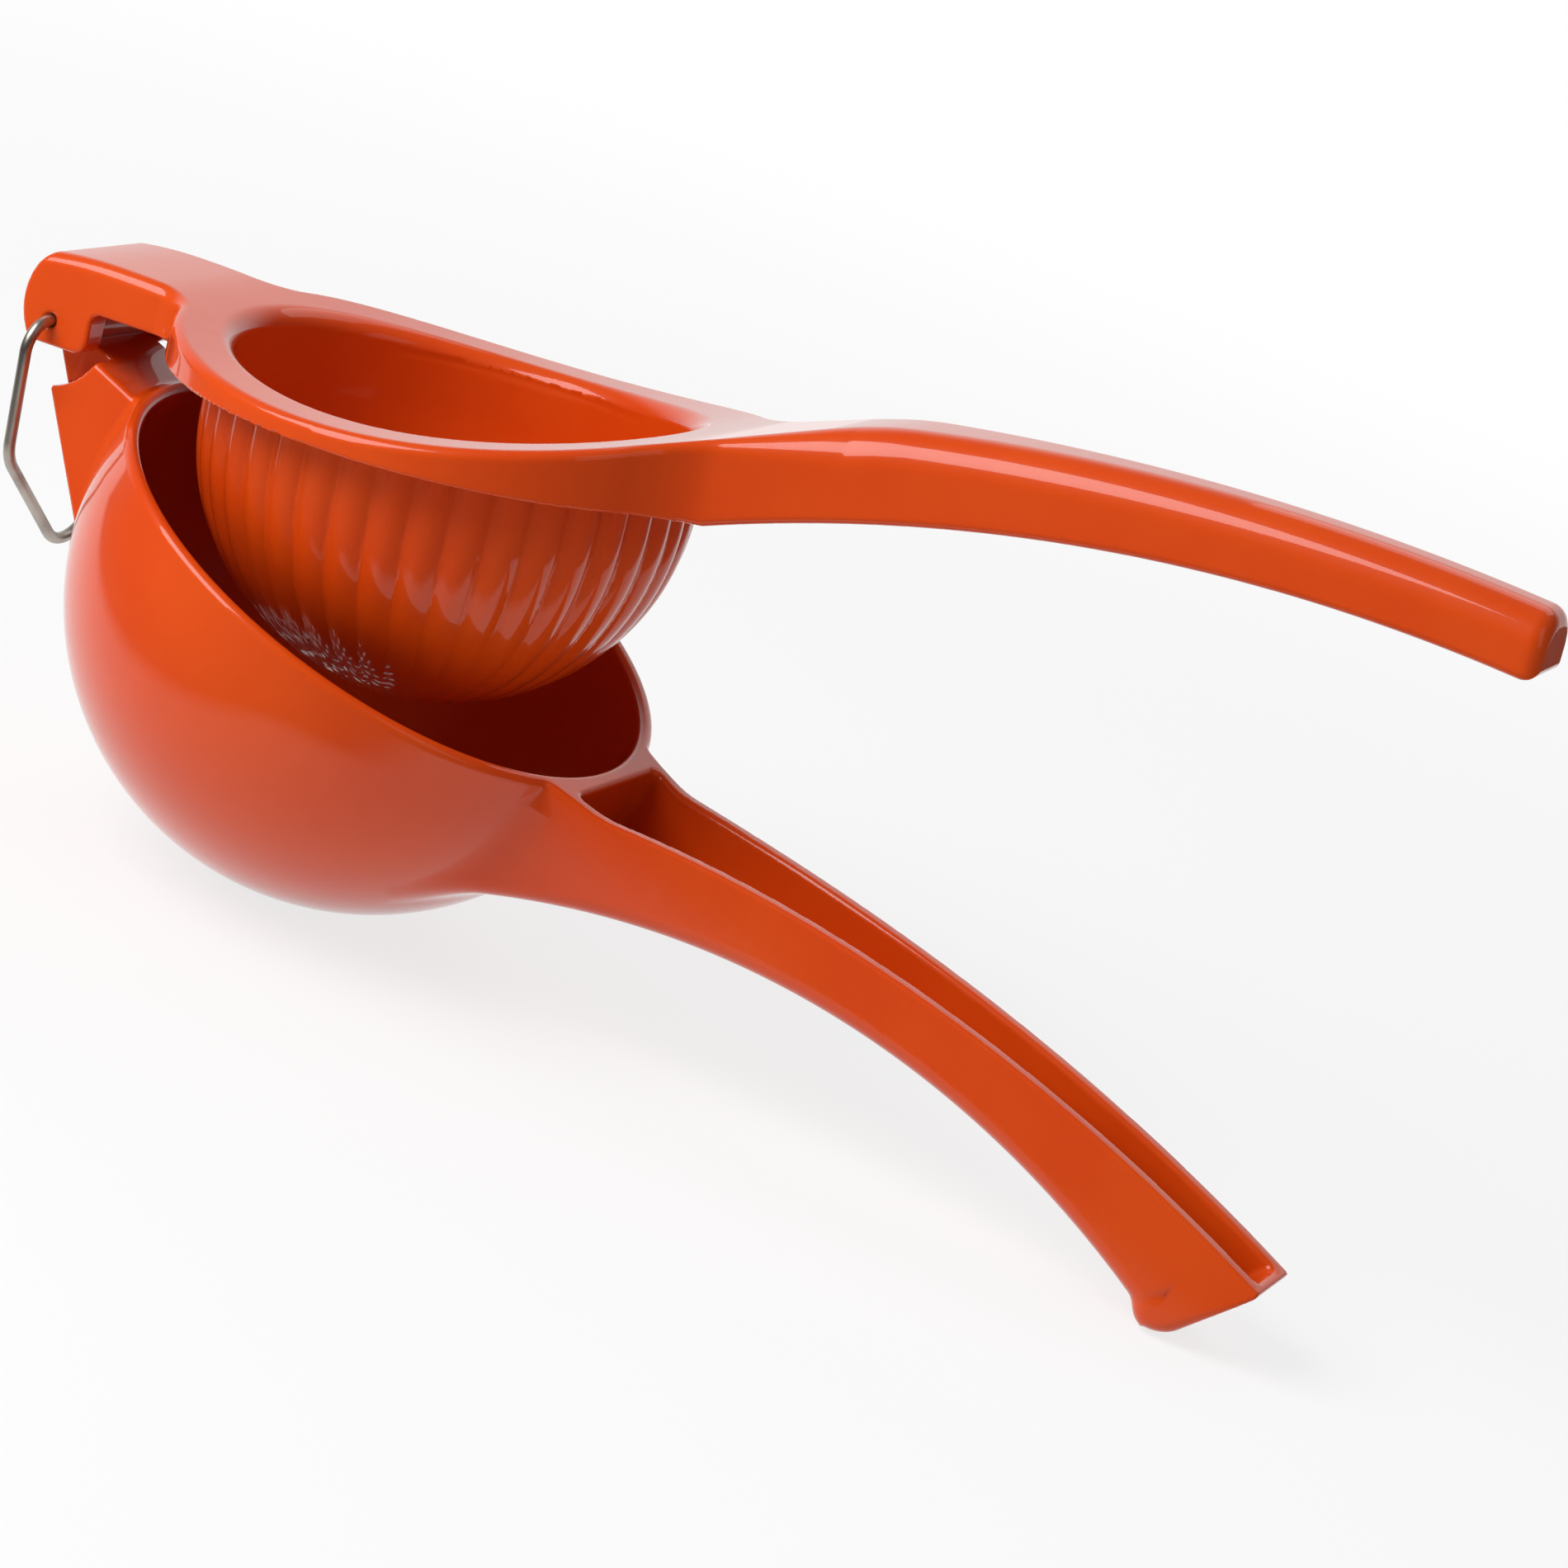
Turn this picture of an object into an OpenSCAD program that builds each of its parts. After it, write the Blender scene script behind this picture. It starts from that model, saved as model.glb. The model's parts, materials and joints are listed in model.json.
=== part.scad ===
// Hinged citrus squeezer: a strainer bowl on a channelled handle, a ribbed press cup on a
// rounded handle, and a wire bail whose ends are the hinge pin.
// The castings are drawn in the bowl's own frame: the origin is the centre of the bowl's rim,
// +X runs towards the handle ends and +Z stands up from the rim. place() then tips the
// squeezer until it stands on the bowl and on the heel of the lower handle.

/* [Bowl] */
// Outer radius of the strainer bowl
bowl_r = 45.5; // [43:0.5:49]
// Wall of the strainer bowl
bowl_wall = 2.4; // [2:0.1:3]
// Straight collar between the half ball and the rim
bowl_collar = 6.2; // [4:0.2:8]

/* [Juice slots] */
// Width of a juice slot
slot_w = 2.2; // [1.6:0.1:2.6]
// Length of a juice slot, seen from below
slot_l = 5; // [4:0.5:6]
// Radius of the outermost ring of slots, at the middle of the slots
slot_ring_r = 17.5; // [16:0.5:18.5]
// Distance from one ring of slots to the next
slot_ring_step = 7.5; // [7:0.5:8.5]
// Distance along a ring from one slot to the next
slot_pitch = 6.7; // [5.5:0.1:9]
// Diameter of the hole in the middle of the bowl
middle_hole_d = 3.1; // [2.5:0.1:4]

/* [Hinge] */
// Distance from the outside of the bowl back to the hinge axis
hinge_reach = 17; // [15:0.5:20]
// Depth of the hinge axis below the bowl's rim
hinge_drop = 2; // [1:0.5:3]
// Width of the hinge, over both ears
hinge_w = 26.6; // [24:0.2:30]
// Width of one ear of the upper casting
ear_w = 4.7; // [4:0.1:6]
// Side clearance between the knuckle and an ear
ear_gap = 0.4; // [0.3:0.1:0.6]
// Radius of the knuckle of the lower casting
knuckle_r = 4.9; // [4:0.1:5]
// Radial clearance of everything that swings about the hinge axis
swing_gap = 0.5; // [0.4:0.1:1]
// Radius of the back of the ears
ear_back_r = 10.6; // [10:0.1:11.5]
// How far the ears reach behind the hinge axis
ear_rear = 5.2; // [4.8:0.1:5.6]
// Height of the ears' rearmost line above the hinge axis
ear_rear_rise = 2.6; // [2:0.1:3]
// How far the ears reach below the hinge axis
ear_foot = 3.6; // [3:0.1:4]
// How far the ear feet reach in front of the hinge axis
ear_toe = 6.8; // [6:0.1:7.5]
// Corner radius of the ear feet
ear_toe_r = 2.2; // [1.5:0.1:2.6]
// Height of the hinge block above the hinge axis
block_h = 10.7; // [10:0.1:12]
// Radius of the hinge block's crowned top
crown_r = 70; // [50:5:100]
// Distance of the crown's highest line in front of the hinge axis
crown_x = 8; // [6:0.5:10]
// How far the hinge block's underside lies above the flange's
block_step = 0.3; // [0.2:0.1:0.6]
// Height of the pocket's flat roof behind the hinge axis
pocket_roof = 3.3; // [3:0.1:4]
// Radius of the scoops in the lug's cheeks, about the hinge axis
scoop_r = 9.6; // [9:0.1:10.4]
// Slope of the back of the lug, in degrees below the rim plane
lug_slope = 42; // [38:1:46]
// Distance of that slope behind the hinge axis
lug_back = 2.2; // [1.8:0.1:2.8]
// Distance along that slope from the hinge axis to the knuckle's underside
lug_waist = 1; // [0.6:0.1:1.4]

/* [Press cup] */
// Space left for the peel between the cup and the bowl
peel_gap = 6.2; // [5:0.2:8]
// Depth of the centre of the cup's half ball below the rim plane
cup_drop = 5.1; // [4:0.1:6.5]
// Wall of the cup between the ribs
cup_wall = 2.2; // [1.8:0.1:2.8]
// Number of ribs round the cup
rib_count = 40; // [30:2:42]
// Height of a rib at the widest part of the cup
rib_rise = 0.9; // [0.6:0.1:1]
// Angle by which the ribs are turned about the cup's axis
rib_turn = 2; // [0:0.5:9]

/* [Flange] */
// Distance of the flange's edge inside the outside of the bowl
flange_step = 1.3; // [0.5:0.1:2]
// Forward shift of the flange's edge
flange_shift = 0.9; // [0:0.1:1.2]
// Gap between the flange and the bowl's rim when the squeezer is shut
shut_gap = 0.7; // [0.5:0.1:1.2]
// Thickness of the flange where it is thinnest
flange_t = 3.3; // [2.8:0.1:4.5]
// Radius of the flange's saddle-shaped top
saddle_r = 150; // [130:5:200]
// Distance of the saddle's lowest line behind the cup's axis
saddle_back = 5.5; // [3:0.5:8]
// Rounding of the flange's outer edge
edge_round = 1.6; // [1:0.1:2]
// Rounding of the cup's mouth
mouth_round = 2.6; // [2:0.1:3.2]
// Chamfer of the flange's lower edge
under_bevel = 0.4; // [0.2:0.1:0.8]

/* [Handles] */
// Reach of the handles beyond the bowl
handle_l = 120; // [110:1:130]
// Half width of the handles near their ends
grip_half_w = 6.5; // [6:0.1:8]
// Extra half width where a handle leaves the bowl
root_flare = 9.1; // [7:0.1:10]
// Length over which that extra width falls away
taper_l = 31; // [26:1:36]
// Wall of both handles beside their channels
handle_wall = 2.8; // [2.4:0.1:3.4]

/* [Lower handle] */
// Crest of the lower handle's top edge, beyond the bowl
low_top_x = 93.5; // [88:0.5:100]
// Height of that crest above the rim
low_top_z = 13.2; // [12:0.1:14]
// Radius of the top edge
low_top_r = 298; // [280:2:320]
// Crest of the lower handle's underside, beyond the bowl
low_under_x = 74.5; // [70:0.5:78]
// Height of that crest above the rim
low_under_z = 1.3; // [0:0.1:2]
// Radius of the underside
low_under_r = 140; // [130:1:150]
// Floor below the lower channel
floor_t = 2.8; // [2.4:0.1:3.6]
// Rounding of the lower handle's bottom edges
low_round = 3; // [2:0.1:3.5]
// Rounding of the lower handle's top edges
low_edge_round = 0.8; // [0.5:0.1:1]
// Blunt tip at the end of the lower handle
low_tip = 0.4; // [0.3:0.1:0.8]
// Distance from the end of the handle back to the heel
heel_back = 10.2; // [9:0.1:12]
// Radius of the heel
heel_r = 3.8; // [3:0.1:4.5]
// How far the heel stands below the underside
heel_drop = 1.4; // [1:0.1:2.2]
// Web between the bowl's wall and the lower channel
root_web = 2.9; // [2:0.1:4]

/* [Upper handle] */
// Crest of the upper handle's underside, beyond the bowl
up_under_x = 92.5; // [88:0.5:98]
// Height of that crest above the rim
up_under_z = 16.2; // [15.5:0.1:18]
// Radius of the underside
up_under_r = 273; // [260:1:300]
// Crest of the upper handle's top, beyond the bowl
up_top_x = 84.5; // [80:0.5:90]
// Height of that crest above the rim
up_top_z = 26.4; // [25:0.1:28]
// Radius of the top
up_top_r = 357; // [330:1:400]
// Distance beyond the bowl at which the rise from the flange ends
brow_x = 20.5; // [18:0.5:24]
// Distance inside the flange's rounded edge at which that rise starts
brow_in = 1.5; // [1:0.1:2.5]
// Rounding of the top edges along the grip
up_round = 5.6; // [4:0.1:5.8]
// Growth of that rounding for each millimetre beyond the bowl
up_round_growth = 0.21; // [0.15:0.01:0.3]
// Rounding of the upper handle's lower edges
up_under_round = 1.2; // [0.8:0.1:1.6]
// Rounding of the handle's end
end_round = 2.4; // [1.5:0.1:3]
// Wall above the upper handle's channel
roof_t = 3; // [2.4:0.1:3.6]
// Distance beyond the bowl at which the upper channel starts
up_root = 8; // [6:0.5:12]

/* [Wire bail] */
// Thickness of the wire
wire_d = 1.8; // [1.6:0.1:2.2]
// Radial clearance of the wire in its bore
bore_gap = 0.08; // [0.05:0.01:0.1]
// Radius of the countersink at the mouth of the bore
bore_mouth_r = 1.7; // [1.5:0.1:2]
// Depth of that countersink
bore_mouth_t = 1; // [0.6:0.1:1.4]
// Gap between the two ends of the wire inside the bore
wire_end_gap = 1; // [0.6:0.2:2]
// Distance of the wire's legs outside the ears, at its middle
leg_out = 5.1; // [4:0.1:7]
// Depth of the two knees below the hinge axis
knee_drop = 22; // [18:0.5:26]
// How far each knee is drawn in from the legs
knee_in = 4.6; // [3:0.1:6]
// Depth of the loop's corner below the hinge axis
loop_drop = 39.5; // [34:0.5:44]
// Sideways place of the loop's corner
loop_skew = 8.6; // [6:0.1:10]
// How far the loop's far corner lies above its lowest one
far_rise = 7; // [5:0.5:9]
// How far the far corner is drawn in from its leg
far_in = 0.6; // [0.2:0.1:1.5]
// Bend radius of the wire, at its middle
bend_r = 4; // [3:0.5:5]

/* [Pose] */
// Opening angle in which the squeezer is drawn
open_angle = 23.2; // [5:0.1:60]

/* [Hidden] */
$fn = 48;
// Facets of the large rounds
ARC_FN = 96;
// Longer than the whole squeezer, for cuts that run right through
FAR = 400;
// How far a cut runs past the surface that it opens
CUT = 1;
// How far handles and lug start inside the bowl's outside, to be cut flush with its inside
ROOT_IN = 9.5;
// How far a form sinks into the one that it grows out of
SINK = 0.15;
ENAMEL = "#d54b16";
STEEL = "#a0968c";

// Bowl
bowl_in_r = bowl_r - bowl_wall;
lip_r = bowl_wall / 2;
slot_far_r = slot_ring_r + slot_l / 2;
slot_cut_h = bowl_r + 2 * CUT - sqrt(bowl_in_r * bowl_in_r - slot_far_r * slot_far_r);

// Hinge, with its places given from the bowl's rim
hinge_x = -bowl_r - hinge_reach;
hinge_z = -hinge_drop;
knuckle_w = hinge_w - 2 * (ear_w + ear_gap);
pocket_w = knuckle_w + 2 * ear_gap;
bore_r = wire_d / 2 + bore_gap;
foot_reach_r = norm([ear_toe - ear_toe_r, ear_foot - ear_toe_r]) + ear_toe_r;
cheek_r = max(foot_reach_r + swing_gap, scoop_r);
block_under = shut_gap + hinge_drop + block_step;
ear_back_x = ear_back_r - ear_rear;

// Press cup and flange
cup_r = bowl_in_r - peel_gap - rib_rise;
cup_in_r = cup_r - cup_wall;
flange_r = bowl_r - flange_step;
saddle_z = shut_gap + flange_t;

// Handles
handle_end = bowl_r + handle_l;
heel_x = handle_end - heel_back;

// Tipping about the hinge direction until bowl and heel touch the table
heel_z = arc_z(heel_x, bowl_r + low_under_x, low_under_z, low_under_r) - heel_drop + heel_r;
heel_far = norm([heel_x, heel_z + bowl_collar]);
tilt = atan2(heel_z + bowl_collar, heel_x) + asin((bowl_r - heel_r) / heel_far);
lift = bowl_collar * cos(tilt) + bowl_r;

// Height of an arc that crests at (cx, cz)
function arc_z(x, cx, cz, r) = cz - r + sqrt(r * r - (x - cx) * (x - cx));

// Turns a point [x, z] of the bowl's frame into the standing frame
function standing(p) = [p[0] * cos(tilt) + p[1] * sin(tilt), p[1] * cos(tilt) - p[0] * sin(tilt)];

// Turns a point [x, z] of the shut upper casting about the hinge to its drawn place
function opened(p) = let (dx = p[0] - hinge_x, dz = p[1] - hinge_z)
    [hinge_x + dx * cos(open_angle) - dz * sin(open_angle),
     hinge_z + dx * sin(open_angle) + dz * cos(open_angle)];

ear_back = [hinge_x + ear_back_x, hinge_z + ear_rear_rise];
rear_x = standing(opened(ear_back))[0] - ear_back_r;
front_x = standing(opened([handle_end, arc_z(handle_end, bowl_r + up_under_x, up_under_z, up_under_r)
    + end_round]))[0];
middle_x = (rear_x + front_x) / 2;

module place() {
    translate([-middle_x, 0, lift]) rotate([0, tilt, 0]) children();
}

module about_hinge(angle) {
    translate([hinge_x, 0, hinge_z]) rotate([0, -angle, 0]) translate([-hinge_x, 0, -hinge_z]) children();
}

// Extrudes an outline drawn in X and Z to both sides of the middle plane
module across(w) {
    rotate([90, 0, 0]) linear_extrude(w, center = true) children();
}

// The same with the outline drawn from the hinge axis
module across_hinge(w) {
    translate([hinge_x, 0, hinge_z]) across(w) children();
}

// ---- Lofted forms ----

// Closed skin over rings of points; wrap joins the last ring to the first
module loft(rings, wrap = false) {
    n = len(rings);
    m = len(rings[0]);
    sides = [for (i = [0:n - (wrap ? 1 : 2)], j = [0:m - 1])
        let (a = i * m + j, b = i * m + (j + 1) % m, k = (i + 1) % n, c = k * m + (j + 1) % m, d = k * m + j)
        each [[a, c, b], [a, d, c]]];
    ends = wrap ? [] : [[for (j = [0:m - 1]) j], [for (j = [m - 1:-1:0]) (n - 1) * m + j]];
    polyhedron([for (ring = rings) each ring], concat(sides, ends), convexity = 6);
}

// Quarter of a rounded corner with centre (y, z), from angle a on
function corner(x, y, z, r, a, steps) =
    [for (i = [0:steps]) [x, y + r * cos(a + 90 * i / steps), z + r * sin(a + 90 * i / steps)]];

// Cross section of a handle: a box from z0 to z1 with rounded bottom and top corners
function handle_ring(x, w, z0, z1, rb, rt) = concat(
    corner(x, w - rb, z0 + rb, rb, -90, 3),
    corner(x, w - rt, z1 - rt, rt, 0, 6),
    corner(x, rt - w, z1 - rt, rt, 90, 6),
    corner(x, rb - w, z0 + rb, rb, 180, 3));

// Half width of either handle
function half_w(x) = grip_half_w + root_flare * exp((bowl_r - x) / taper_l);

// ---- Lower casting ----

// Half sections of the bowl, outside and inside, with a rounded lip between them
module bowl_outside() {
    intersection() {
        translate([0, -bowl_collar]) circle(bowl_r, $fn = ARC_FN);
        translate([0, -bowl_collar - bowl_r]) square(bowl_r);
    }
    translate([0, -bowl_collar]) square([bowl_r, bowl_collar - lip_r]);
    translate([0, -lip_r]) square([bowl_r - lip_r, lip_r]);
    translate([bowl_r - lip_r, -lip_r]) circle(lip_r, $fn = 32);
}

module bowl_inside() {
    intersection() {
        translate([0, -bowl_collar]) circle(bowl_in_r, $fn = ARC_FN);
        translate([0, -bowl_collar - bowl_r]) square([bowl_r, bowl_r]);
    }
    translate([0, -bowl_collar]) square([bowl_in_r, bowl_collar + bowl_r]);
    difference() {
        translate([0, -lip_r]) square([bowl_in_r + lip_r, lip_r + CUT]);
        translate([bowl_in_r + lip_r, -lip_r]) circle(lip_r, $fn = 32);
    }
}

// Slot with round ends, lying along the radius
module slot() {
    translate([(slot_w - slot_l) / 2, -slot_w / 2]) square([slot_l - slot_w, slot_w]);
    for (side = [-1, 1])
        translate([side * (slot_l - slot_w) / 2, 0]) circle(d = slot_w, $fn = 24);
}

// Rings of juice slots round one hole, cut straight down as the mould leaves them
module juice_slots() {
    translate([0, 0, -bowl_collar - bowl_r - CUT]) {
        for (r = [slot_ring_r:-slot_ring_step:slot_l], i = [0:slot_count(r) - 1])
            rotate([0, 0, 360 * (i + 0.5) / slot_count(r)])
                translate([r, 0, 0]) linear_extrude(slot_cut_h) slot();
        cylinder(d = middle_hole_d, h = slot_cut_h, $fn = 24);
    }
}

function slot_count(r) = 2 * round(PI * r / slot_pitch);

// Underside of the lower handle: the long arc, the round heel, then the slanting end
low_end_z = arc_z(handle_end, bowl_r + low_top_x, low_top_z, low_top_r);
end_dx = heel_x - handle_end;
end_dz = heel_z - low_end_z;
end_lean = atan2(end_dz, end_dx) + asin(heel_r / norm([end_dx, end_dz]));
end_slope = tan(end_lean);
heel_end_x = heel_x - heel_r * sin(end_lean);

function low_under(x) = arc_z(x, bowl_r + low_under_x, low_under_z, low_under_r);
function low_top(x) = max(0, arc_z(x, bowl_r + low_top_x, low_top_z, low_top_r));
function heel_under(x) = abs(x - heel_x) < heel_r
    ? heel_z - sqrt(heel_r * heel_r - (x - heel_x) * (x - heel_x)) : FAR;
function low_bottom(x) = x > heel_end_x ? low_end_z - (handle_end - x) * end_slope
    : x > heel_x ? heel_under(x) : min(low_under(x), heel_under(x));

module lower_grip() {
    x0 = bowl_r - ROOT_IN;
    long_steps = 26;
    end_steps = 5;
    tip_x = handle_end - low_tip;
    long_run = [for (i = [0:long_steps]) x0 + (heel_x - heel_r - x0) * i / long_steps];
    heel_run = [for (a = [14:16:174]) let (x = heel_x - heel_r * cos(a)) if (x < heel_end_x) x];
    end_run = [for (i = [1:end_steps]) heel_end_x + (tip_x - heel_end_x) * i / end_steps];
    loft([for (x = concat(long_run, heel_run, end_run))
        let (z0 = low_bottom(x), z1 = low_top(x), h = z1 - z0)
        handle_ring(x, half_w(x), z0, z1, min(low_round, h * 0.4), min(low_edge_round, h * 0.3))]);
}

// Plan outline of a channel between two stations, one handle wall inside the handle
module channel_plan(x0, x1) {
    steps = 24;
    side = [for (i = [0:steps]) let (x = x0 + (x1 - x0) * i / steps) [x, half_w(x) - handle_wall]];
    polygon(concat(side, [for (i = [steps:-1:0]) [side[i][0], -side[i][1]]]));
}

// Channel of the lower handle: open on top, its end wall parallel to the slanting end
module lower_channel() {
    x0 = bowl_in_r + root_web;
    steps = 24;
    wall_dx = handle_wall / abs(sin(end_lean));
    x1 = handle_end - wall_dx;
    above = low_top_z + floor_t;
    function end_wall_z(x) = low_end_z - (x1 - x) * end_slope;
    intersection() {
        translate([0, 0, -FAR / 2]) linear_extrude(FAR) channel_plan(x0, x1);
        across(2 * bowl_r) polygon(concat(
            [for (i = [0:steps]) let (x = x0 + (x1 - x0) * i / steps)
                [x, max(low_under(x) + floor_t, end_wall_z(x))]],
            [[x1 + CUT, above], [x0, above]]));
    }
}

// Lug: a wide block behind the bowl, cut back to a knuckle between the ears
module lug_outline() {
    difference() {
        union() {
            translate([0, -bowl_r]) square([hinge_reach + ROOT_IN, bowl_r]);
            circle(knuckle_r);
        }
        rotate(-lug_slope) translate([lug_waist, -lug_back - FAR]) square([FAR, FAR]);
        rotate(-lug_slope) translate([-FAR, -knuckle_r - FAR]) square([FAR + knuckle_r, FAR]);
    }
}

module lug() {
    difference() {
        across_hinge(hinge_w) lug_outline();
        for (side = [-1, 1])
            translate([hinge_x, side * (knuckle_w + FAR) / 2, hinge_z]) rotate([90, 0, 0])
                cylinder(r = cheek_r, h = FAR, center = true);
    }
}

module hinge_bore() {
    translate([hinge_x, 0, hinge_z]) rotate([90, 0, 0])
        cylinder(r = bore_r, h = hinge_w + 2 * CUT, center = true);
}

module bowl_casting() {
    color(ENAMEL) place() difference() {
        union() {
            rotate_extrude($fn = ARC_FN) bowl_outside();
            lower_grip();
            lug();
        }
        rotate_extrude($fn = ARC_FN) bowl_inside();
        lower_channel();
        juice_slots();
        hinge_bore();
    }
}

// ---- Upper casting, drawn shut ----

function saddle(x) = saddle_z + saddle_r - sqrt(saddle_r * saddle_r - (x + saddle_back) * (x + saddle_back));

// Profile of the flange at one bearing, from the cup's mouth over the top to the outer edge
function flange_ring(a) =
    let (
        off = flange_shift * sin(a),
        r_out = flange_shift * cos(a) + sqrt(flange_r * flange_r - off * off),
        r_in = cup_in_r - SINK,
        steps = 5,
        mouth_r = r_in + mouth_round,
        edge_r = r_out - edge_round,
        z_mouth = saddle(mouth_r * cos(a)),
        z_edge = saddle(edge_r * cos(a)),
        r_mid = (mouth_r + edge_r) / 2,
        inner = [for (i = [0:steps]) let (t = 90 * i / steps)
            [mouth_r - mouth_round * cos(t), z_mouth - mouth_round * (1 - sin(t))]],
        outer = [for (i = [0:steps]) let (t = 90 * i / steps)
            [edge_r + edge_round * sin(t), z_edge - edge_round * (1 - cos(t))]],
        profile = concat([[r_in, shut_gap]], inner, [[r_mid, saddle(r_mid * cos(a))]], outer,
            [[r_out, shut_gap + under_bevel], [r_out - under_bevel, shut_gap]]))
    [for (p = profile) [p[0] * cos(a), p[0] * sin(a), p[1]]];

module flange() {
    steps = 96;
    loft([for (i = [0:steps - 1]) flange_ring(360 * i / steps)], wrap = true);
}

// Outside of the press cup: a ball whose radius swells into round ribs, full at the widest
// part and fading towards the bottom, with a straight neck up into the flange
RIB_SHAPE = [[0, 0], [0.13, 0.45], [0.36, 0.92], [0.64, 0.92], [0.87, 0.45]];

function cup_ring(tip, neck = 0) =
    [for (i = [0:rib_count - 1], s = RIB_SHAPE)
        let (
            a = rib_turn + 360 * (i + s[0]) / rib_count,
            r = cup_r + rib_rise * s[1] * sin(tip) * sin(tip))
        [r * sin(tip) * cos(a), r * sin(tip) * sin(a), neck - cup_drop - r * cos(tip)]];

module ribbed_cup() {
    loft(concat(
        [for (tip = [5, 11, 18, 26, 35, 45, 56, 67, 78, 90]) cup_ring(tip)],
        [cup_ring(90, cup_drop + shut_gap + flange_t / 2)]));
}

module cup_space() {
    translate([0, 0, -cup_drop]) rotate_extrude($fn = ARC_FN) {
        intersection() {
            circle(cup_in_r, $fn = ARC_FN);
            translate([0, -cup_r]) square(cup_r);
        }
        square([cup_in_r, cup_drop + FAR / 4]);
    }
}

module hinge_block() {
    front = -hinge_x - cup_in_r - cup_wall / 2;
    difference() {
        across_hinge(hinge_w) difference() {
            intersection() {
                union() {
                    translate([ear_back_x, ear_rear_rise]) circle(ear_back_r);
                    translate([ear_back_x, -ear_foot]) square([front - ear_back_x, 2 * block_h]);
                }
                translate([crown_x, block_h - crown_r]) circle(crown_r, $fn = ARC_FN);
            }
            translate([-FAR, -ear_foot - FAR]) square([2 * FAR, FAR]);
            translate([ear_toe, block_under - FAR]) square([FAR, FAR]);
            difference() {
                translate([ear_toe - ear_toe_r, -ear_foot - CUT]) square(ear_toe_r + CUT);
                translate([ear_toe - ear_toe_r, ear_toe_r - ear_foot]) circle(ear_toe_r, $fn = 32);
            }
        }
        across_hinge(pocket_w) {
            circle(knuckle_r + swing_gap);
            translate([-2 * ear_back_r, -FAR]) square([2 * ear_back_r, FAR + pocket_roof]);
            translate([-CUT, -FAR]) square([FAR, FAR + block_under]);
        }
    }
}

function up_under(x) = max(shut_gap, arc_z(x, bowl_r + up_under_x, up_under_z, up_under_r));
function up_arc(x) = arc_z(x, bowl_r + up_top_x, up_top_z, up_top_r);
brow_start = flange_r + flange_shift - edge_round - brow_in;
function up_top(x) =
    let (x1 = bowl_r + brow_x, z0 = saddle(brow_start) - SINK, slope = (up_arc(x1) - z0) / (x1 - brow_start))
    x < x1 ? z0 + (x - brow_start) * slope : up_arc(x);
function top_round(x) = min(up_round, edge_round + max(0, x - bowl_r) * up_round_growth);

module upper_grip() {
    x0 = cup_r + cup_wall;
    body_steps = 30;
    body = [for (i = [0:body_steps]) x0 + (handle_end - end_round - x0) * i / body_steps];
    body_rings = [for (x = body)
        handle_ring(x, half_w(x), up_under(x), up_top(x), up_under_round, top_round(x))];
    end_rings = [for (t = [15:15:90])
        let (x = handle_end - end_round * (1 - sin(t)), d = end_round * (1 - cos(t)))
        handle_ring(x, half_w(x) - d, up_under(x) + d, up_top(x) - d, up_under_round, up_round - d)];
    loft(concat(body_rings, end_rings));
}

// Channel of the upper handle, open below
module upper_channel() {
    x0 = bowl_r + up_root;
    x1 = handle_end - handle_wall - end_round / 2;
    steps = 24;
    intersection() {
        translate([0, 0, -FAR / 2]) linear_extrude(FAR) channel_plan(x0, x1);
        across(2 * bowl_r) polygon(concat(
            [for (i = [0:steps]) let (x = x0 + (x1 - x0) * i / steps) [x, up_top(x) - roof_t]],
            [[x1, -bowl_r], [x0, -bowl_r]]));
    }
}

module press_casting() {
    color(ENAMEL) place() about_hinge(open_angle) difference() {
        union() {
            flange();
            ribbed_cup();
            hinge_block();
            upper_grip();
        }
        cup_space();
        upper_channel();
        hinge_bore();
        for (side = [-1, 1])
            translate([hinge_x, side * hinge_w / 2, hinge_z]) rotate([side * 90, 0, 0])
                translate([0, 0, -bore_mouth_t])
                    cylinder(r1 = 2 * bore_mouth_r - bore_r, r2 = bore_r, h = 2 * bore_mouth_t);
    }
}

// ---- Wire bail ----

// Corners of the wire as [across, down] from the hinge axis, one end to the other
leg_y = hinge_w / 2 + leg_out;
end_y = wire_end_gap / 2;
wire_path = [
    [-end_y, 0], [-leg_y, 0], [knee_in - leg_y, knee_drop], [loop_skew, loop_drop],
    [leg_y - far_in, loop_drop - far_rise], [leg_y, 0], [end_y, 0]];
hinge_at = [standing([hinge_x, hinge_z])[0] - middle_x, standing([hinge_x, hinge_z])[1] + lift];

function unit(v) = v / norm(v);
function square_to(v) = [-v[1], v[0]];

// Points round corner i, as [point, direction], so that the wire turns at bend_r
function bend(i) =
    let (
        u = unit(wire_path[i] - wire_path[i - 1]),
        v = unit(wire_path[i + 1] - wire_path[i]),
        angle = acos(u * v),
        side = sign(u[0] * v[1] - u[1] * v[0]),
        start = wire_path[i] - u * bend_r * tan(angle / 2),
        middle = start + square_to(u) * side * bend_r,
        steps = max(2, round(angle / 15)))
    [for (k = [0:steps]) let (t = angle * k / steps, d = u * cos(t) + square_to(u) * side * sin(t))
        [middle - square_to(d) * side * bend_r, d]];

// Ring of the wire's surface round a point of its path, a hair inside the straight pins
WIRE_SKIN = 0.01;
function wire_ring(p, sides = 14) =
    [for (k = [0:sides - 1]) let (t = -360 * k / sides, r = wire_d / 2 - WIRE_SKIN, n = square_to(p[1]))
        [r * sin(t), p[0][0] + n[0] * r * cos(t), -p[0][1] - n[1] * r * cos(t)]];

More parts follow.
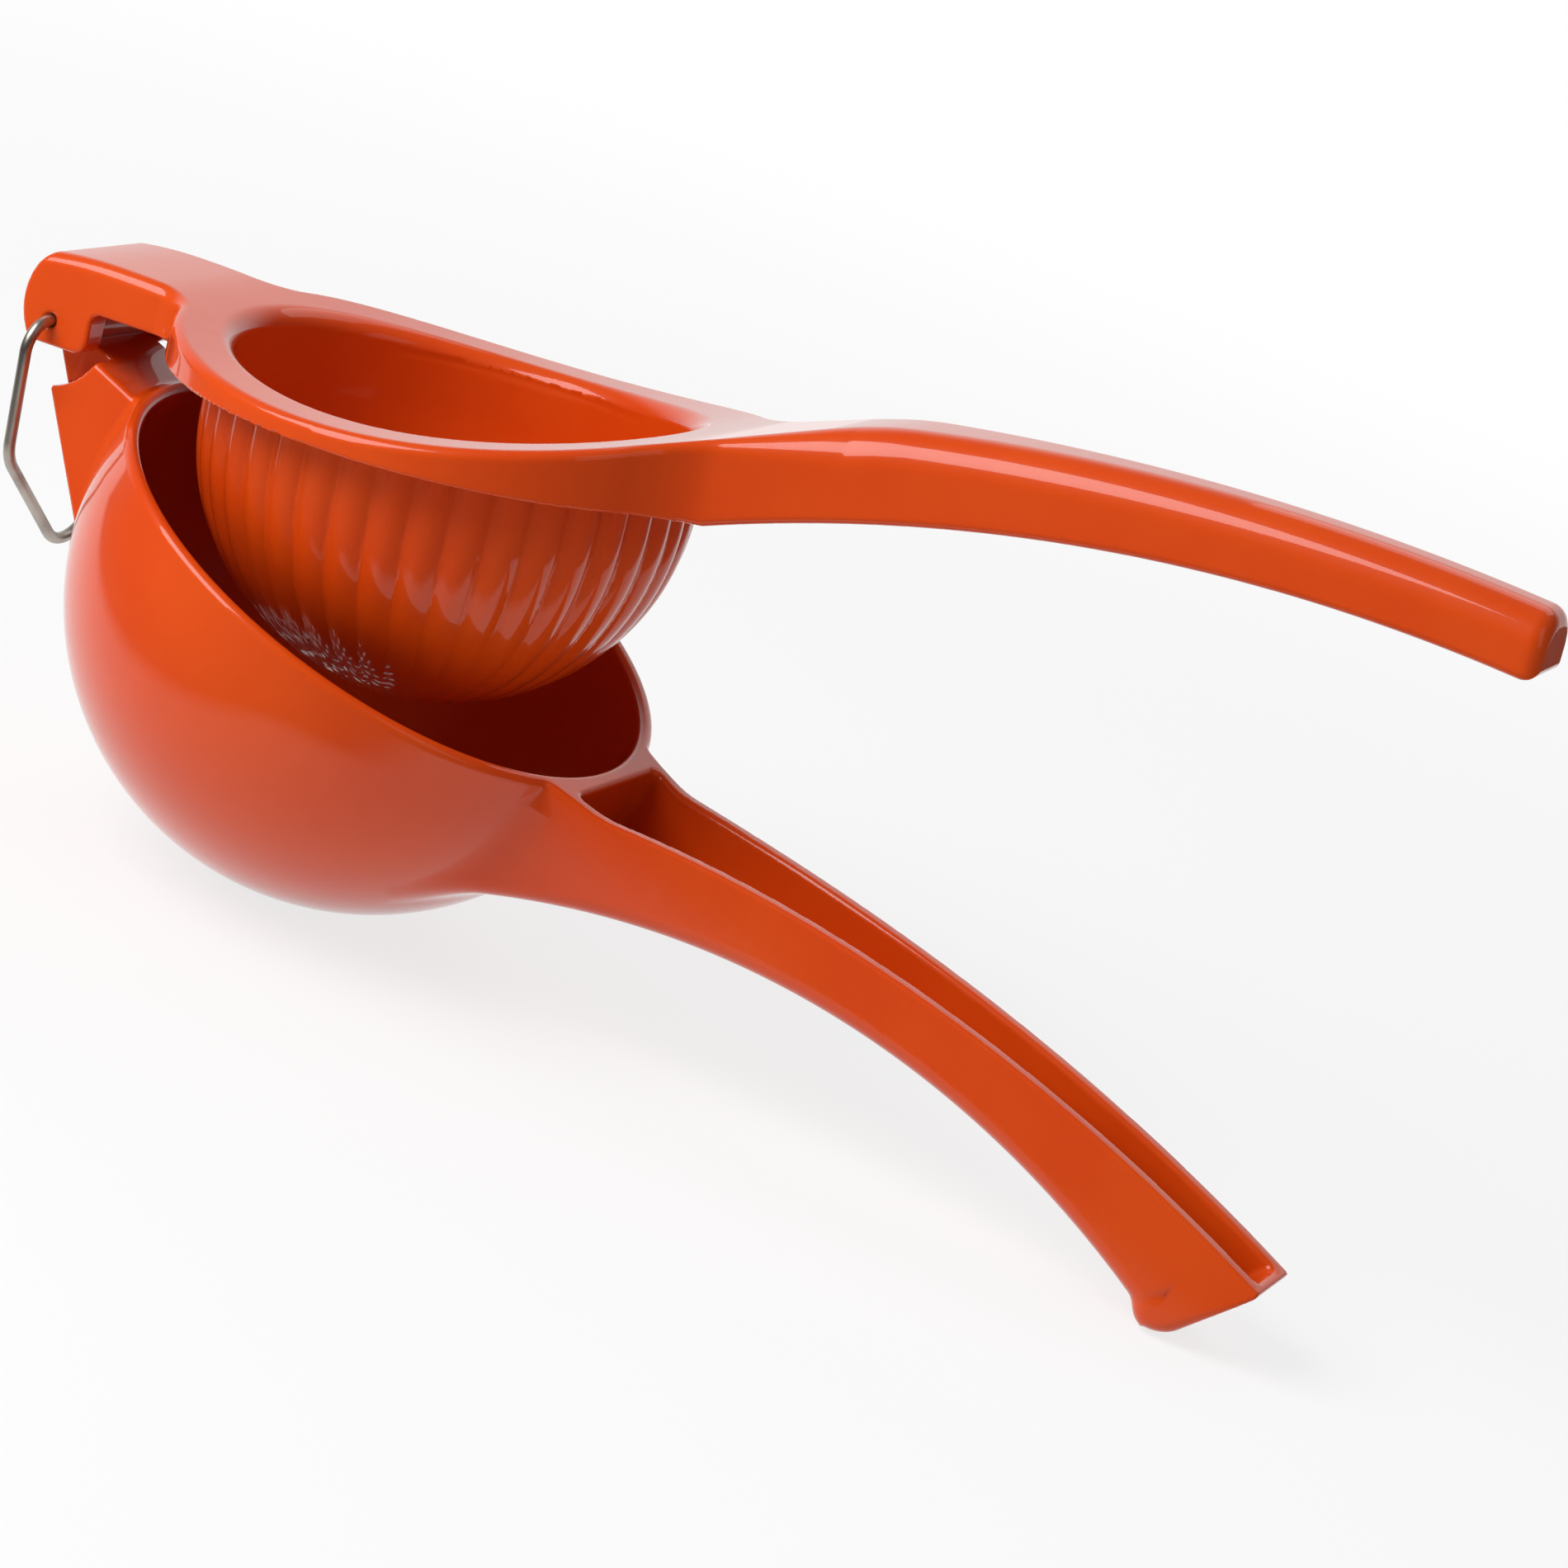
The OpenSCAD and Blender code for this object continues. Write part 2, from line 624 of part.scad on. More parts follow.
module wire_bail() {
    last = len(wire_path) - 1;
    bends = [for (i = [1:last - 1]) each bend(i)];
    pin_l = hinge_w / 2 - end_y;
    lap = 0.5;
    first = [[lap - hinge_w / 2, 0], [-1, 0]];
    final = [[hinge_w / 2 - lap, 0], [-1, 0]];
    color(STEEL) translate([hinge_at[0], 0, hinge_at[1]]) {
        for (side = [-1, 1])
            translate([0, side * (end_y + pin_l / 2), 0]) rotate([90, 0, 0])
                cylinder(d = wire_d, h = pin_l, center = true);
        loft([for (p = concat([first], bends, [final])) wire_ring(p)]);
    }
}

bowl_casting();
press_casting();
wire_bail();
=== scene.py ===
"""Hinged citrus squeezer: two enamelled castings on a wire that is both hinge pin and hanging ring.

Each casting is described as a solid by its signed distance, which is negative inside the metal.
A net of quads is laid over the solid, drawn onto its surface and thinned where it is flat.
Lengths of the squeezer are in millimetres, and those of its finishes and the studio in metres.
"""

import json
import logging
import math
from abc import ABC, abstractmethod
from collections.abc import Callable, Mapping
from dataclasses import dataclass, field
from enum import Enum

import bmesh
import bpy
import numpy as np
from mathutils import Matrix, Vector


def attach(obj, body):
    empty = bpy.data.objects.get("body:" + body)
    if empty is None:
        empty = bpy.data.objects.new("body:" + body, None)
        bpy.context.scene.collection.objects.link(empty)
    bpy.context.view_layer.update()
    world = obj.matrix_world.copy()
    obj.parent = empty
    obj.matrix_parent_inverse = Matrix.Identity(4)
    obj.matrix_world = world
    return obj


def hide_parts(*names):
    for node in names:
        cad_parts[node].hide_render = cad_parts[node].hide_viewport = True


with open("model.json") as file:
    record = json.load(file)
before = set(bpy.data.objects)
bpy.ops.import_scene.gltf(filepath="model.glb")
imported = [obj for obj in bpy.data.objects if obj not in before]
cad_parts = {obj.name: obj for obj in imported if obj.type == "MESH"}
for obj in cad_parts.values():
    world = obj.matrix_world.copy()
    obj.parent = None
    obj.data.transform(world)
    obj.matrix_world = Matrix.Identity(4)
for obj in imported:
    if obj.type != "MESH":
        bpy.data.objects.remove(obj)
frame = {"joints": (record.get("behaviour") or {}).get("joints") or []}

log = logging.getLogger("squeezer")

Array = np.ndarray
Field = Callable[[Array, Array, Array], Array]
Colour = tuple[float, float, float]

MM = 0.001
TINY = 1e-9  # keeps a quotient finite


class Node(Enum):
    """Nodes of the frame that the pieces stand for."""

    BOWL = "bowl_casting"
    PRESS = "press_casting"
    WIRE = "wire_bail"


class Body(Enum):
    """Bodies that the pieces ride on."""

    LOWER_ARM = "lower_arm"
    UPPER_ARM = "upper_arm"
    HANGING_WIRE = "hanging_wire"


class Slot(Enum):
    """Material slots that the pieces take their finish from."""

    ENAMEL_LOWER = "enamel_lower"
    ENAMEL_UPPER = "enamel_upper"
    WIRE = "wire"


def stand(name: str, data: bpy.types.ID) -> bpy.types.Object:
    """Put a mesh, a lamp or the camera into the scene.

    Args:
        name: Name of the object.
        data: What the object shows.

    Returns:
        The object.
    """
    holder = bpy.data.objects.new(name, data)
    bpy.context.scene.collection.objects.link(holder)
    return holder


def hinge_place() -> Array:
    """Place of the hinge axis in the frame, in metres."""
    return np.array(frame["joints"][0]["pos_m"])


# ---- Solids as signed distances ----


def inside_edge(a: Array, b: Array, radius: float | Array) -> Array:
    """Intersection of two solids whose shared edge is rounded off.

    Args:
        a: Distances to the first solid.
        b: Distances to the second solid.
        radius: Rounding of the edge.

    Returns:
        Distances to what both solids share.
    """
    over_a = np.maximum(a + radius, 0.0)
    over_b = np.maximum(b + radius, 0.0)
    return np.minimum(np.maximum(a, b), -radius) + np.hypot(over_a, over_b)


def filleted(a: Array, b: Array, radius: float | Array) -> Array:
    """Union of two solids with a fillet between them.

    Args:
        a: Distances to the first solid.
        b: Distances to the second solid.
        radius: Radius of the fillet.

    Returns:
        Distances to both solids together.
    """
    return -inside_edge(-a, -b, radius)


def cut(a: Array, b: Array, radius: float | Array) -> Array:
    """First solid less the second, with the edge of the cut rounded off.

    Args:
        a: Distances to the solid that is cut.
        b: Distances to the space that is taken out of it.
        radius: Rounding of the edge of the cut.

    Returns:
        Distances to what is left.
    """
    return inside_edge(a, -b, radius)


def eased(a: Array, b: Array, reach: float | Array) -> Array:
    """Union of two solids that meet at a shallow angle.

    Args:
        a: Distances to the first solid.
        b: Distances to the second solid.
        reach: How far from the crease the surfaces are eased into each other.

    Returns:
        Distances to both solids together.
    """
    near = np.maximum(reach - np.abs(a - b), 0.0) / reach
    return np.minimum(a, b) - near**2 * reach / 4


def deep_dish(x: Array, y: Array, z: Array, radius: float, collar: float) -> Array:
    """Half ball under a straight collar, open upwards.

    Args:
        x: Places along the arms.
        y: Places across them.
        z: Heights above the rim.
        radius: Radius of the ball and the collar.
        collar: Height of the collar.

    Returns:
        Distances to the dish.
    """
    return np.sqrt(x**2 + y**2 + np.minimum(z + collar, 0.0) ** 2) - radius


@dataclass(frozen=True)
class Arc:
    """Arc that crests at (x, z), as the long edges of the handles do."""

    x: float
    z: float
    radius: float

    def height(self, x: Array | float) -> Array | float:
        """Height of the arc at x."""
        return self.z - self.radius + np.sqrt(self.radius**2 - (x - self.x) ** 2)

    def above(self, x: Array, z: Array) -> Array:
        """Distance of a place above the arc, negative below it."""
        return np.hypot(x - self.x, z - self.z + self.radius) - self.radius


@dataclass(frozen=True)
class SurfaceNet:
    """Closed mesh over a solid, with its vertices drawn onto the solid's surface."""

    solid: Field
    low: tuple[float, float, float]
    high: tuple[float, float, float]
    cell: float
    block: int = 8
    chunk: int = 160
    margin: float = 1.5
    steps_in_cell: float = 12.0
    least_steepness: float = 0.25
    first_rounds: int = 2
    relax_rounds: int = 2

    def distance(self, points: Array) -> Array:
        """Distances of points, one row each, to the solid."""
        return self.solid(points[:, 0], points[:, 1], points[:, 2])

    def slope(self, points: Array, step: float) -> Array:
        """Gradient of the distance.

        Args:
            points: Places, one row each.
            step: Half of the stretch over which the distance is compared.

        Returns:
            One gradient for each place.
        """
        gradient = np.empty_like(points)
        for axis in range(3):
            shift = np.zeros(3)
            shift[axis] = step
            ahead, behind = self.distance(points + shift), self.distance(points - shift)
            gradient[:, axis] = (ahead - behind) / (2 * step)
        return gradient

    def outwards(self, points: Array, step: float) -> Array:
        """Unit normals that point out of the metal.

        Args:
            points: Places on the surface, one row each.
            step: Half of the stretch over which the distance is compared.

        Returns:
            One normal for each place.
        """
        gradient = self.slope(points, step)
        return gradient / np.maximum(np.linalg.norm(gradient, axis=1, keepdims=True), TINY)

    def drawn(self, points: Array, rounds: int) -> Array:
        """Points drawn onto the surface by Newton's rule.

        Args:
            points: Places near the surface, one row each.
            rounds: How often the rule is used.

        Returns:
            The places on the surface.
        """
        for _ in range(rounds):
            gradient = self.slope(points, self.cell / self.steps_in_cell)
            steepness = np.maximum((gradient**2).sum(axis=1), self.least_steepness)
            reach = np.clip(self.distance(points), -self.cell / 2, self.cell / 2)
            points = points - gradient * (reach / steepness)[:, None]
        return points

    def samples(self) -> Array:
        """Distances at the corners of all cells; far from the surface only their sign is true.

        Returns:
            The distances, as a block with three axes.
        """
        low, high = np.array(self.low), np.array(self.high)
        side = self.block * self.cell
        blocks = np.ceil((high - low) / side).astype(int)
        middles = np.stack(np.meshgrid(*[np.arange(n) + 0.5 for n in blocks], indexing="ij"), -1)
        coarse = self.distance((low + side * middles).reshape(-1, 3)).reshape(blocks)
        values = coarse.astype(np.float32)
        for axis in range(3):
            values = values.repeat(self.block, axis)
        values = np.pad(values, ((0, 1),) * 3, mode="edge")
        near = np.argwhere(np.abs(coarse) < self.margin * side * math.sqrt(3) / 2)
        steps = np.arange(self.block + 1)
        corners = np.stack(np.meshgrid(steps, steps, steps, indexing="ij"), -1).reshape(-1, 3)
        for start in range(0, len(near), self.chunk):
            firsts = near[start : start + self.chunk] * self.block
            cells = firsts[:, None, :] + corners[None, :, :]
            found = self.distance((low + self.cell * cells).reshape(-1, 3))
            values[tuple(cells.reshape(-1, 3).T)] = found
        return values

    def net(self) -> tuple[Array, Array]:
        """Net with one vertex in each cell that the surface crosses.

        Returns:
            Vertices and quads.
        """
        values = self.samples()
        inside = values < 0
        shape = np.array(values.shape)
        places, owners, leaving = [], [], []
        for axis in range(3):
            ahead = [slice(None)] * 3
            here = [slice(None)] * 3
            ahead[axis], here[axis] = slice(1, None), slice(None, -1)
            edges = np.argwhere(inside[tuple(here)] != inside[tuple(ahead)])
            unit = np.eye(3, dtype=int)[axis]
            first = values[tuple(edges.T)]
            second = values[tuple((edges + unit).T)]
            share = first / (first - second)
            places.append(edges + unit * share[:, None])
            across = [np.roll(unit, 1), np.roll(unit, 2)]
            ring = [-across[0] - across[1], -across[1], 0 * unit, -across[0]]
            owners.append(np.stack([np.ravel_multi_index((edges + r).T, shape) for r in ring], 1))
            leaving.append(first < 0)
        crossings, rings = np.concatenate(places), np.concatenate(owners)
        _, quads = np.unique(rings, return_inverse=True)
        quads = quads.reshape(-1, 4)
        count = np.bincount(quads.ravel())
        repeated = crossings.repeat(4, axis=0)
        sums = [np.bincount(quads.ravel(), weights=repeated[:, k]) for k in range(3)]
        points = np.stack(sums, 1) / count[:, None]
        outward = np.concatenate(leaving)
        quads = np.where(outward[:, None], quads, quads[:, ::-1])
        return np.array(self.low) + self.cell * points, quads

    def relaxed(self, points: Array, quads: Array) -> Array:
        """Points moved halfway to the middle of their neighbours and back onto the surface.

        Args:
            points: Vertices of the net, one row each.
            quads: The net's quads.

        Returns:
            The vertices in their new places.
        """
        here = quads.ravel()
        there = np.roll(quads, -1, axis=1).ravel()
        ends, others = np.concatenate([here, there]), np.concatenate([there, here])
        count = np.maximum(np.bincount(ends, minlength=len(points)), 1)
        sums = [np.bincount(ends, points[others, k], len(points)) for k in range(3)]
        middle = np.stack(sums, 1) / count[:, None]
        return self.drawn((points + middle) / 2, 1)

    def mesh(self) -> tuple[Array, Array]:
        """Finished net, drawn onto the surface and relaxed.

        Returns:
            Vertices and quads.
        """
        points, quads = self.net()
        points = self.drawn(points, self.first_rounds)
        for _ in range(self.relax_rounds):
            points = self.relaxed(points, quads)
        return self.drawn(points, 1), quads


# ---- Shared sizes of the two arms ----


@dataclass(frozen=True)
class Layout:
    """Sizes that both arms share, in a frame whose origin is the middle of the bowl's rim."""

    bowl_radius: float = 45.5
    bowl_wall: float = 2.4
    bowl_collar: float = 6.2
    hinge_reach: float = 17.0
    hinge_drop: float = 2.0
    hinge_width: float = 26.6
    ear_width: float = 4.7
    ear_gap: float = 0.4
    knuckle: float = 4.9
    swing_gap: float = 0.5
    bore: float = 0.98
    handle_length: float = 120.0
    grip_half_width: float = 6.5
    root_flare: float = 9.1
    taper: float = 31.0
    handle_wall: float = 2.8
    heel_back: float = 10.2
    heel_radius: float = 3.8
    heel_drop: float = 1.4
    opening: float = math.radians(23.2)
    lower_underside: Arc = Arc(120.0, 1.3, 140.0)

    @property
    def bowl_inside(self) -> float:
        """Inside radius of the bowl."""
        return self.bowl_radius - self.bowl_wall

    @property
    def hinge_x(self) -> float:
        """Place of the hinge axis along the arms."""
        return -self.bowl_radius - self.hinge_reach

    @property
    def hinge_z(self) -> float:
        """Height of the hinge axis above the rim."""
        return -self.hinge_drop

    @property
    def handle_end(self) -> float:
        """Place of the handles' ends."""
        return self.bowl_radius + self.handle_length

    @property
    def knuckle_width(self) -> float:
        """Width of the knuckle between the ears."""
        return self.hinge_width - 2 * (self.ear_width + self.ear_gap)

    @property
    def heel(self) -> tuple[float, float]:
        """Middle of the heel's round foot."""
        x = self.handle_end - self.heel_back
        return x, self.lower_underside.height(x) - self.heel_drop + self.heel_radius

    @property
    def tilt(self) -> float:
        """Lean of the lower arm when it stands on its bowl and its heel.

        Returns:
            The angle.
        """
        x, z = self.heel
        rise = z + self.bowl_collar
        drop = self.bowl_radius - self.heel_radius
        return math.atan2(rise, x) + math.asin(drop / math.hypot(x, rise))

    def half_width(self, x: Array) -> Array:
        """Half of the width of either handle at x."""
        return self.grip_half_width + self.root_flare * np.exp((self.bowl_radius - x) / self.taper)

    def beside_handle(self, x: Array, y: Array, inset: float = 0.0) -> Array:
        """Distance outside a handle's sides, which spread towards the bowl.

        Args:
            x: Places along the arms.
            y: Places across them.
            inset: How far the sides are moved in.

        Returns:
            The distances, negative between the sides.
        """
        spread = self.root_flare / self.taper * np.exp((self.bowl_radius - x) / self.taper)
        return (np.abs(y) - self.half_width(x) + inset) / np.sqrt(1 + spread**2)

    def from_hinge(self, x: Array, z: Array) -> tuple[Array, Array]:
        """Places along the arms and heights, both from the hinge axis."""
        return x - self.hinge_x, z - self.hinge_z

    def hinge_bore(self, x: Array, z: Array) -> Array:
        """Distances to the bore along the hinge axis."""
        return np.hypot(*self.from_hinge(x, z)) - self.bore

    def placed(self, points: Array, lift: float) -> Array:
        """Points of an arm in the squeezer's own frame, turned about the hinge axis.

        Args:
            points: Places in the arm's frame, one row each.
            lift: Angle by which the arm is opened.

        Returns:
            The places where the arm stands, with the hinge where the frame has it.
        """
        away = points - np.array((self.hinge_x, 0.0, self.hinge_z))
        return self.turned(away, lift) + hinge_place() / MM

    def turned(self, normals: Array, lift: float) -> Array:
        """Directions of an arm in the squeezer's own frame.

        Args:
            normals: Directions in the arm's frame, one row each.
            lift: Angle by which the arm is opened.

        Returns:
            The directions as the arm stands.
        """
        turn = self.tilt - lift
        x = normals[:, 0] * math.cos(turn) + normals[:, 2] * math.sin(turn)
        z = normals[:, 2] * math.cos(turn) - normals[:, 0] * math.sin(turn)
        return np.stack([x, normals[:, 1], z], 1)


# ---- Shader expressions ----


class Socket:
    """Output of a shader node that takes part in Python expressions."""

    def __init__(self, shader: "Shader", output: bpy.types.NodeSocket) -> None:
        """Wrap an output of one of the shader's nodes."""
        self.shader = shader
        self.output = output

    def _joined(self, operation: str, first: object, second: object) -> "Socket":
        """Add the node that works out one operation.

        Args:
            operation: Name of the operation.
            first: Left operand, a socket or a number.
            second: Right operand, a socket or a number.

        Returns:
            The result.
        """
        vector = self.output.type in {"VECTOR", "RGBA"}
        kind = "ShaderNodeVectorMath" if vector else "ShaderNodeMath"
        return self.shader.node(kind, {"operation": operation}, {0: first, 1: second})

    def __add__(self, other: object) -> "Socket":
        """Sum."""
        return self._joined("ADD", self, other)

    def __radd__(self, other: object) -> "Socket":
        """Sum with the socket on the right."""
        return self._joined("ADD", other, self)

    def __sub__(self, other: object) -> "Socket":
        """Difference."""
        return self._joined("SUBTRACT", self, other)

    def __rsub__(self, other: object) -> "Socket":
        """Difference with the socket on the right."""
        return self._joined("SUBTRACT", other, self)

    def __mul__(self, other: object) -> "Socket":
        """Product."""
        return self._joined("MULTIPLY", self, other)

    def __rmul__(self, other: object) -> "Socket":
        """Product with the socket on the right."""
        return self._joined("MULTIPLY", other, self)


class Shader:
    """Node tree of one material or of the world."""

    def __init__(self, tree: bpy.types.NodeTree, material: bpy.types.Material | None = None) -> None:
        """Empty the tree.

        Args:
            tree: The node tree.
            material: The material that it belongs to, or nothing for the world.
        """
        self.tree = tree
        self.material = material
        tree.nodes.clear()

    @classmethod
    def of_material(cls, name: str) -> "Shader":
        """Shader of a new material.

        Args:
            name: Name of the material.

        Returns:
            The shader, still without nodes.
        """
        material = bpy.data.materials.new(name)
        material.use_nodes = True
        return cls(material.node_tree, material)

    def _feed(self, socket: bpy.types.NodeSocket, value: object) -> None:
        """Link a socket to another one's output, or set it to a plain value.

        Args:
            socket: Input of a node.
            value: A Socket, a number, or a tuple of numbers.
        """
        if isinstance(value, Socket):
            self.tree.links.new(value.output, socket)
        elif socket.type == "RGBA" and isinstance(value, tuple):
            socket.default_value = (*value, 1.0)
        else:
            socket.default_value = value

    def node(
        self,
        kind: str,
        settings: Mapping[str, object] | None = None,
        sockets: Mapping[str | int, object] | None = None,
        output: str | int = 0,
    ) -> Socket | None:
        """Add a node.

        Args:
            kind: Type of the node.
            settings: Its settings, which are set first.
            sockets: Values or links of its inputs, by name or number.
            output: The output that is wanted, by name or number.

        Returns:
            That output, or nothing if the node has none.
        """
        made = self.tree.nodes.new(kind)
        for name, value in (settings or {}).items():
            setattr(made, name, value)
        for name, value in (sockets or {}).items():
            self._feed(made.inputs[name], value)
        return Socket(self, made.outputs[output]) if made.outputs else None

    def blend(self, share: object, first: object, second: object) -> Socket:
        """Mix of two colours.

        Args:
            share: Share of the second colour.
            first: Colour at a share of 0.
            second: Colour at a share of 1.

        Returns:
            The mixed colour.
        """
        sockets = {0: share, 6: first, 7: second}
        return self.node("ShaderNodeMix", {"data_type": "RGBA"}, sockets, output=2)

    def smooth(self, value: Socket, low: float, high: float) -> Socket:
        """Smooth step from 0 to 1.

        Args:
            value: What is compared.
            low: Value at which the step starts.
            high: Value at which it ends.

        Returns:
            The step.
        """
        settings = {"interpolation_type": "SMOOTHSTEP"}
        limits = {"Value": value, "From Min": low, "From Max": high}
        return self.node("ShaderNodeMapRange", settings, limits)

    def noise(self, place: Socket, size: float, detail: float = 2.0, rough: float = 0.5) -> Socket:
        """Noise from 0 to 1.

        Args:
            place: Coordinates.
            size: Size of its patches, in the coordinates' unit.
            detail: Number of finer layers.
            rough: Strength of the finer layers.

        Returns:
            The noise.
        """
        sockets = {"Vector": place, "Scale": 1 / size, "Detail": detail, "Roughness": rough}
        return self.node("ShaderNodeTexNoise", None, sockets)

    def dot(self, vector: Socket, way: tuple[float, float, float]) -> Socket:
        """How far a vector reaches along a direction."""
        settings = {"operation": "DOT_PRODUCT"}
        return self.node("ShaderNodeVectorMath", settings, {0: vector, 1: way}, "Value")

    def _light_path(self, *kinds: str) -> Socket:
        """1 for rays of any of those kinds, and 0 for all others."""
        total = sum(self.node("ShaderNodeLightPath", output=kind) for kind in kinds)
        return self.node("ShaderNodeMath", {"operation": "MINIMUM"}, {0: total, 1: 1.0})

    def seen(self) -> Socket:
        """1 for rays that show the background: from the camera, in gloss and through glass."""
        return self._light_path("Is Camera Ray", "Is Glossy Ray", "Is Transmission Ray")

    def in_gloss(self) -> Socket:
        """1 for rays that show the background in gloss and through glass."""
        return self._light_path("Is Glossy Ray", "Is Transmission Ray")


# ---- Finishes ----


@dataclass(frozen=True)
class Enamel:
    """Glossy enamel on cast metal, with painted shade in its hollows and painted highlights over its
    edges.
    """

    colour: Colour = (0.640, 0.056, 0.003)
    warm: Colour = (0.670, 0.068, 0.004)
    # Painted shade: darker, redder enamel laid into hollows.
    painted_hollow_shade: Colour = (0.500, 0.024, 0.001)
    # Painted highlight: lighter orange laid over convex edges.
    lightened: Colour = (0.720, 0.110, 0.018)
    worn: Colour = (0.800, 0.520, 0.400)
    roughness: float = 0.32
    specular: float = 0.12
    coat: float = 1.0
    coat_ior: float = 1.36
    coat_roughness: float = 0.045
    cloud: float = 0.030
    peel: float = 0.0035
    peel_depth: float = 0.000012
    grain: float = 0.0009
    grain_depth: float = 0.0000012
    speck: float = 0.007
    cloud_span: tuple[float, float] = (0.35, 0.7)
    # Spans and share of the painted shade in hollows and the painted highlight on edges.
    painted_shade_span: tuple[float, float] = (0.05, 0.7)
    painted_highlight_span: tuple[float, float] = (0.45, 0.95)
    painted_highlight_share: float = 0.35
    chip_edge: tuple[float, float] = (0.6, 0.9)
    chip_spread: tuple[float, float] = (0.66, 0.7)
    chip_roughness: float = 0.2
    unevenness: float = 0.08

    def material(self, name: str) -> bpy.types.Material:
        """Material of this finish.

        Args:
            name: Name of the material.

        Returns:
            The material, which reads the castings' "hollow" and "edge" attributes.
        """
        shader = Shader.of_material(name)
        place = shader.node("ShaderNodeTexCoord", output="Object")
        hollow = shader.node("ShaderNodeAttribute", {"attribute_name": "hollow"}, output="Fac")
        edge = shader.node("ShaderNodeAttribute", {"attribute_name": "edge"}, output="Fac")
        cloud = shader.noise(place, self.cloud, detail=3.0)
        colour = shader.blend(shader.smooth(cloud, *self.cloud_span), self.colour, self.warm)
        # Painted shade: hollows are darkened towards a redder enamel.
        colour = shader.blend(shader.smooth(hollow, *self.painted_shade_span), colour, self.painted_hollow_shade)
        # Painted highlight: convex edges are lightened towards a paler orange.
        colour = shader.blend(shader.smooth(edge, *self.painted_highlight_span) * self.painted_highlight_share, colour, self.lightened)
        fine = shader.noise(place, self.speck, detail=6.0, rough=0.7)
        chips = shader.smooth(edge, *self.chip_edge) * shader.smooth(fine, *self.chip_spread)
        colour = shader.blend(chips, colour, self.worn)
        uneven = self.unevenness * shader.noise(place, self.peel, detail=2.0)
        roughness = self.roughness + uneven + self.chip_roughness * chips
        peel = shader.noise(place, self.peel, detail=1.0) * self.peel_depth
        height = peel + shader.noise(place, self.grain, detail=1.0) * self.grain_depth
        bumped = shader.node("ShaderNodeBump", None, {"Height": height, "Distance": 1.0})
        sockets = {
            "Base Color": colour,
            "Roughness": roughness,
            "Normal": bumped,
            "Specular IOR Level": self.specular,
            "Coat Weight": self.coat,
            "Coat IOR": self.coat_ior,
            "Coat Roughness": self.coat_roughness,
        }
        surface = shader.node("ShaderNodeBsdfPrincipled", None, sockets)
        shader.node("ShaderNodeOutputMaterial", None, {"Surface": surface})
        return shader.material


@dataclass(frozen=True)
class DrawnSteel:
    """Satin steel wire with fine lines along it from the drawing die."""

    colour: Colour = (0.46, 0.42, 0.37)
    dull: Colour = (0.27, 0.235, 0.20)
    roughness: float = 0.30
    line_length: float = 0.012
    line_width: float = 0.00012
    line_depth: float = 0.000006
    line_span: tuple[float, float] = (0.5, 0.8)
    line_share: float = 0.3
    line_roughness: float = 0.16
    patch: float = 0.006
    tarnish_span: tuple[float, float] = (0.4, 0.75)
    tarnish_share: float = 0.7
    tarnish_roughness: float = 0.1

    def material(self, name: str) -> bpy.types.Material:
        """Material of this finish.

        Args:
            name: Name of the material.

        Returns:
            The material, whose UV coordinates run round and along the wire in metres.
        """
        shader = Shader.of_material(name)
        around = shader.node("ShaderNodeTexCoord", output="UV")
        stretch = (1 / self.line_width, 1 / self.line_length, 1.0)
        lines = shader.noise(around * stretch, 1.0, detail=3.0)
        place = shader.node("ShaderNodeTexCoord", output="Object")
        patches = shader.noise(place, self.patch, detail=3.0)
        tarnish = shader.smooth(patches, *self.tarnish_span) * self.tarnish_share
        colour = shader.blend(tarnish, self.colour, self.dull)
        colour = shader.blend(shader.smooth(lines, *self.line_span) * self.line_share, colour, self.dull)
        roughness = self.roughness + self.line_roughness * lines + self.tarnish_roughness * tarnish
        height = lines * self.line_depth
        sockets = {
            "Base Color": colour,
            "Metallic": 1.0,
            "Roughness": roughness,
            "Normal": shader.node("ShaderNodeBump", None, {"Height": height, "Distance": 1.0}),
        }
        surface = shader.node("ShaderNodeBsdfPrincipled", None, sockets)
        shader.node("ShaderNodeOutputMaterial", None, {"Surface": surface})
        return shader.material


# ---- Castings ----


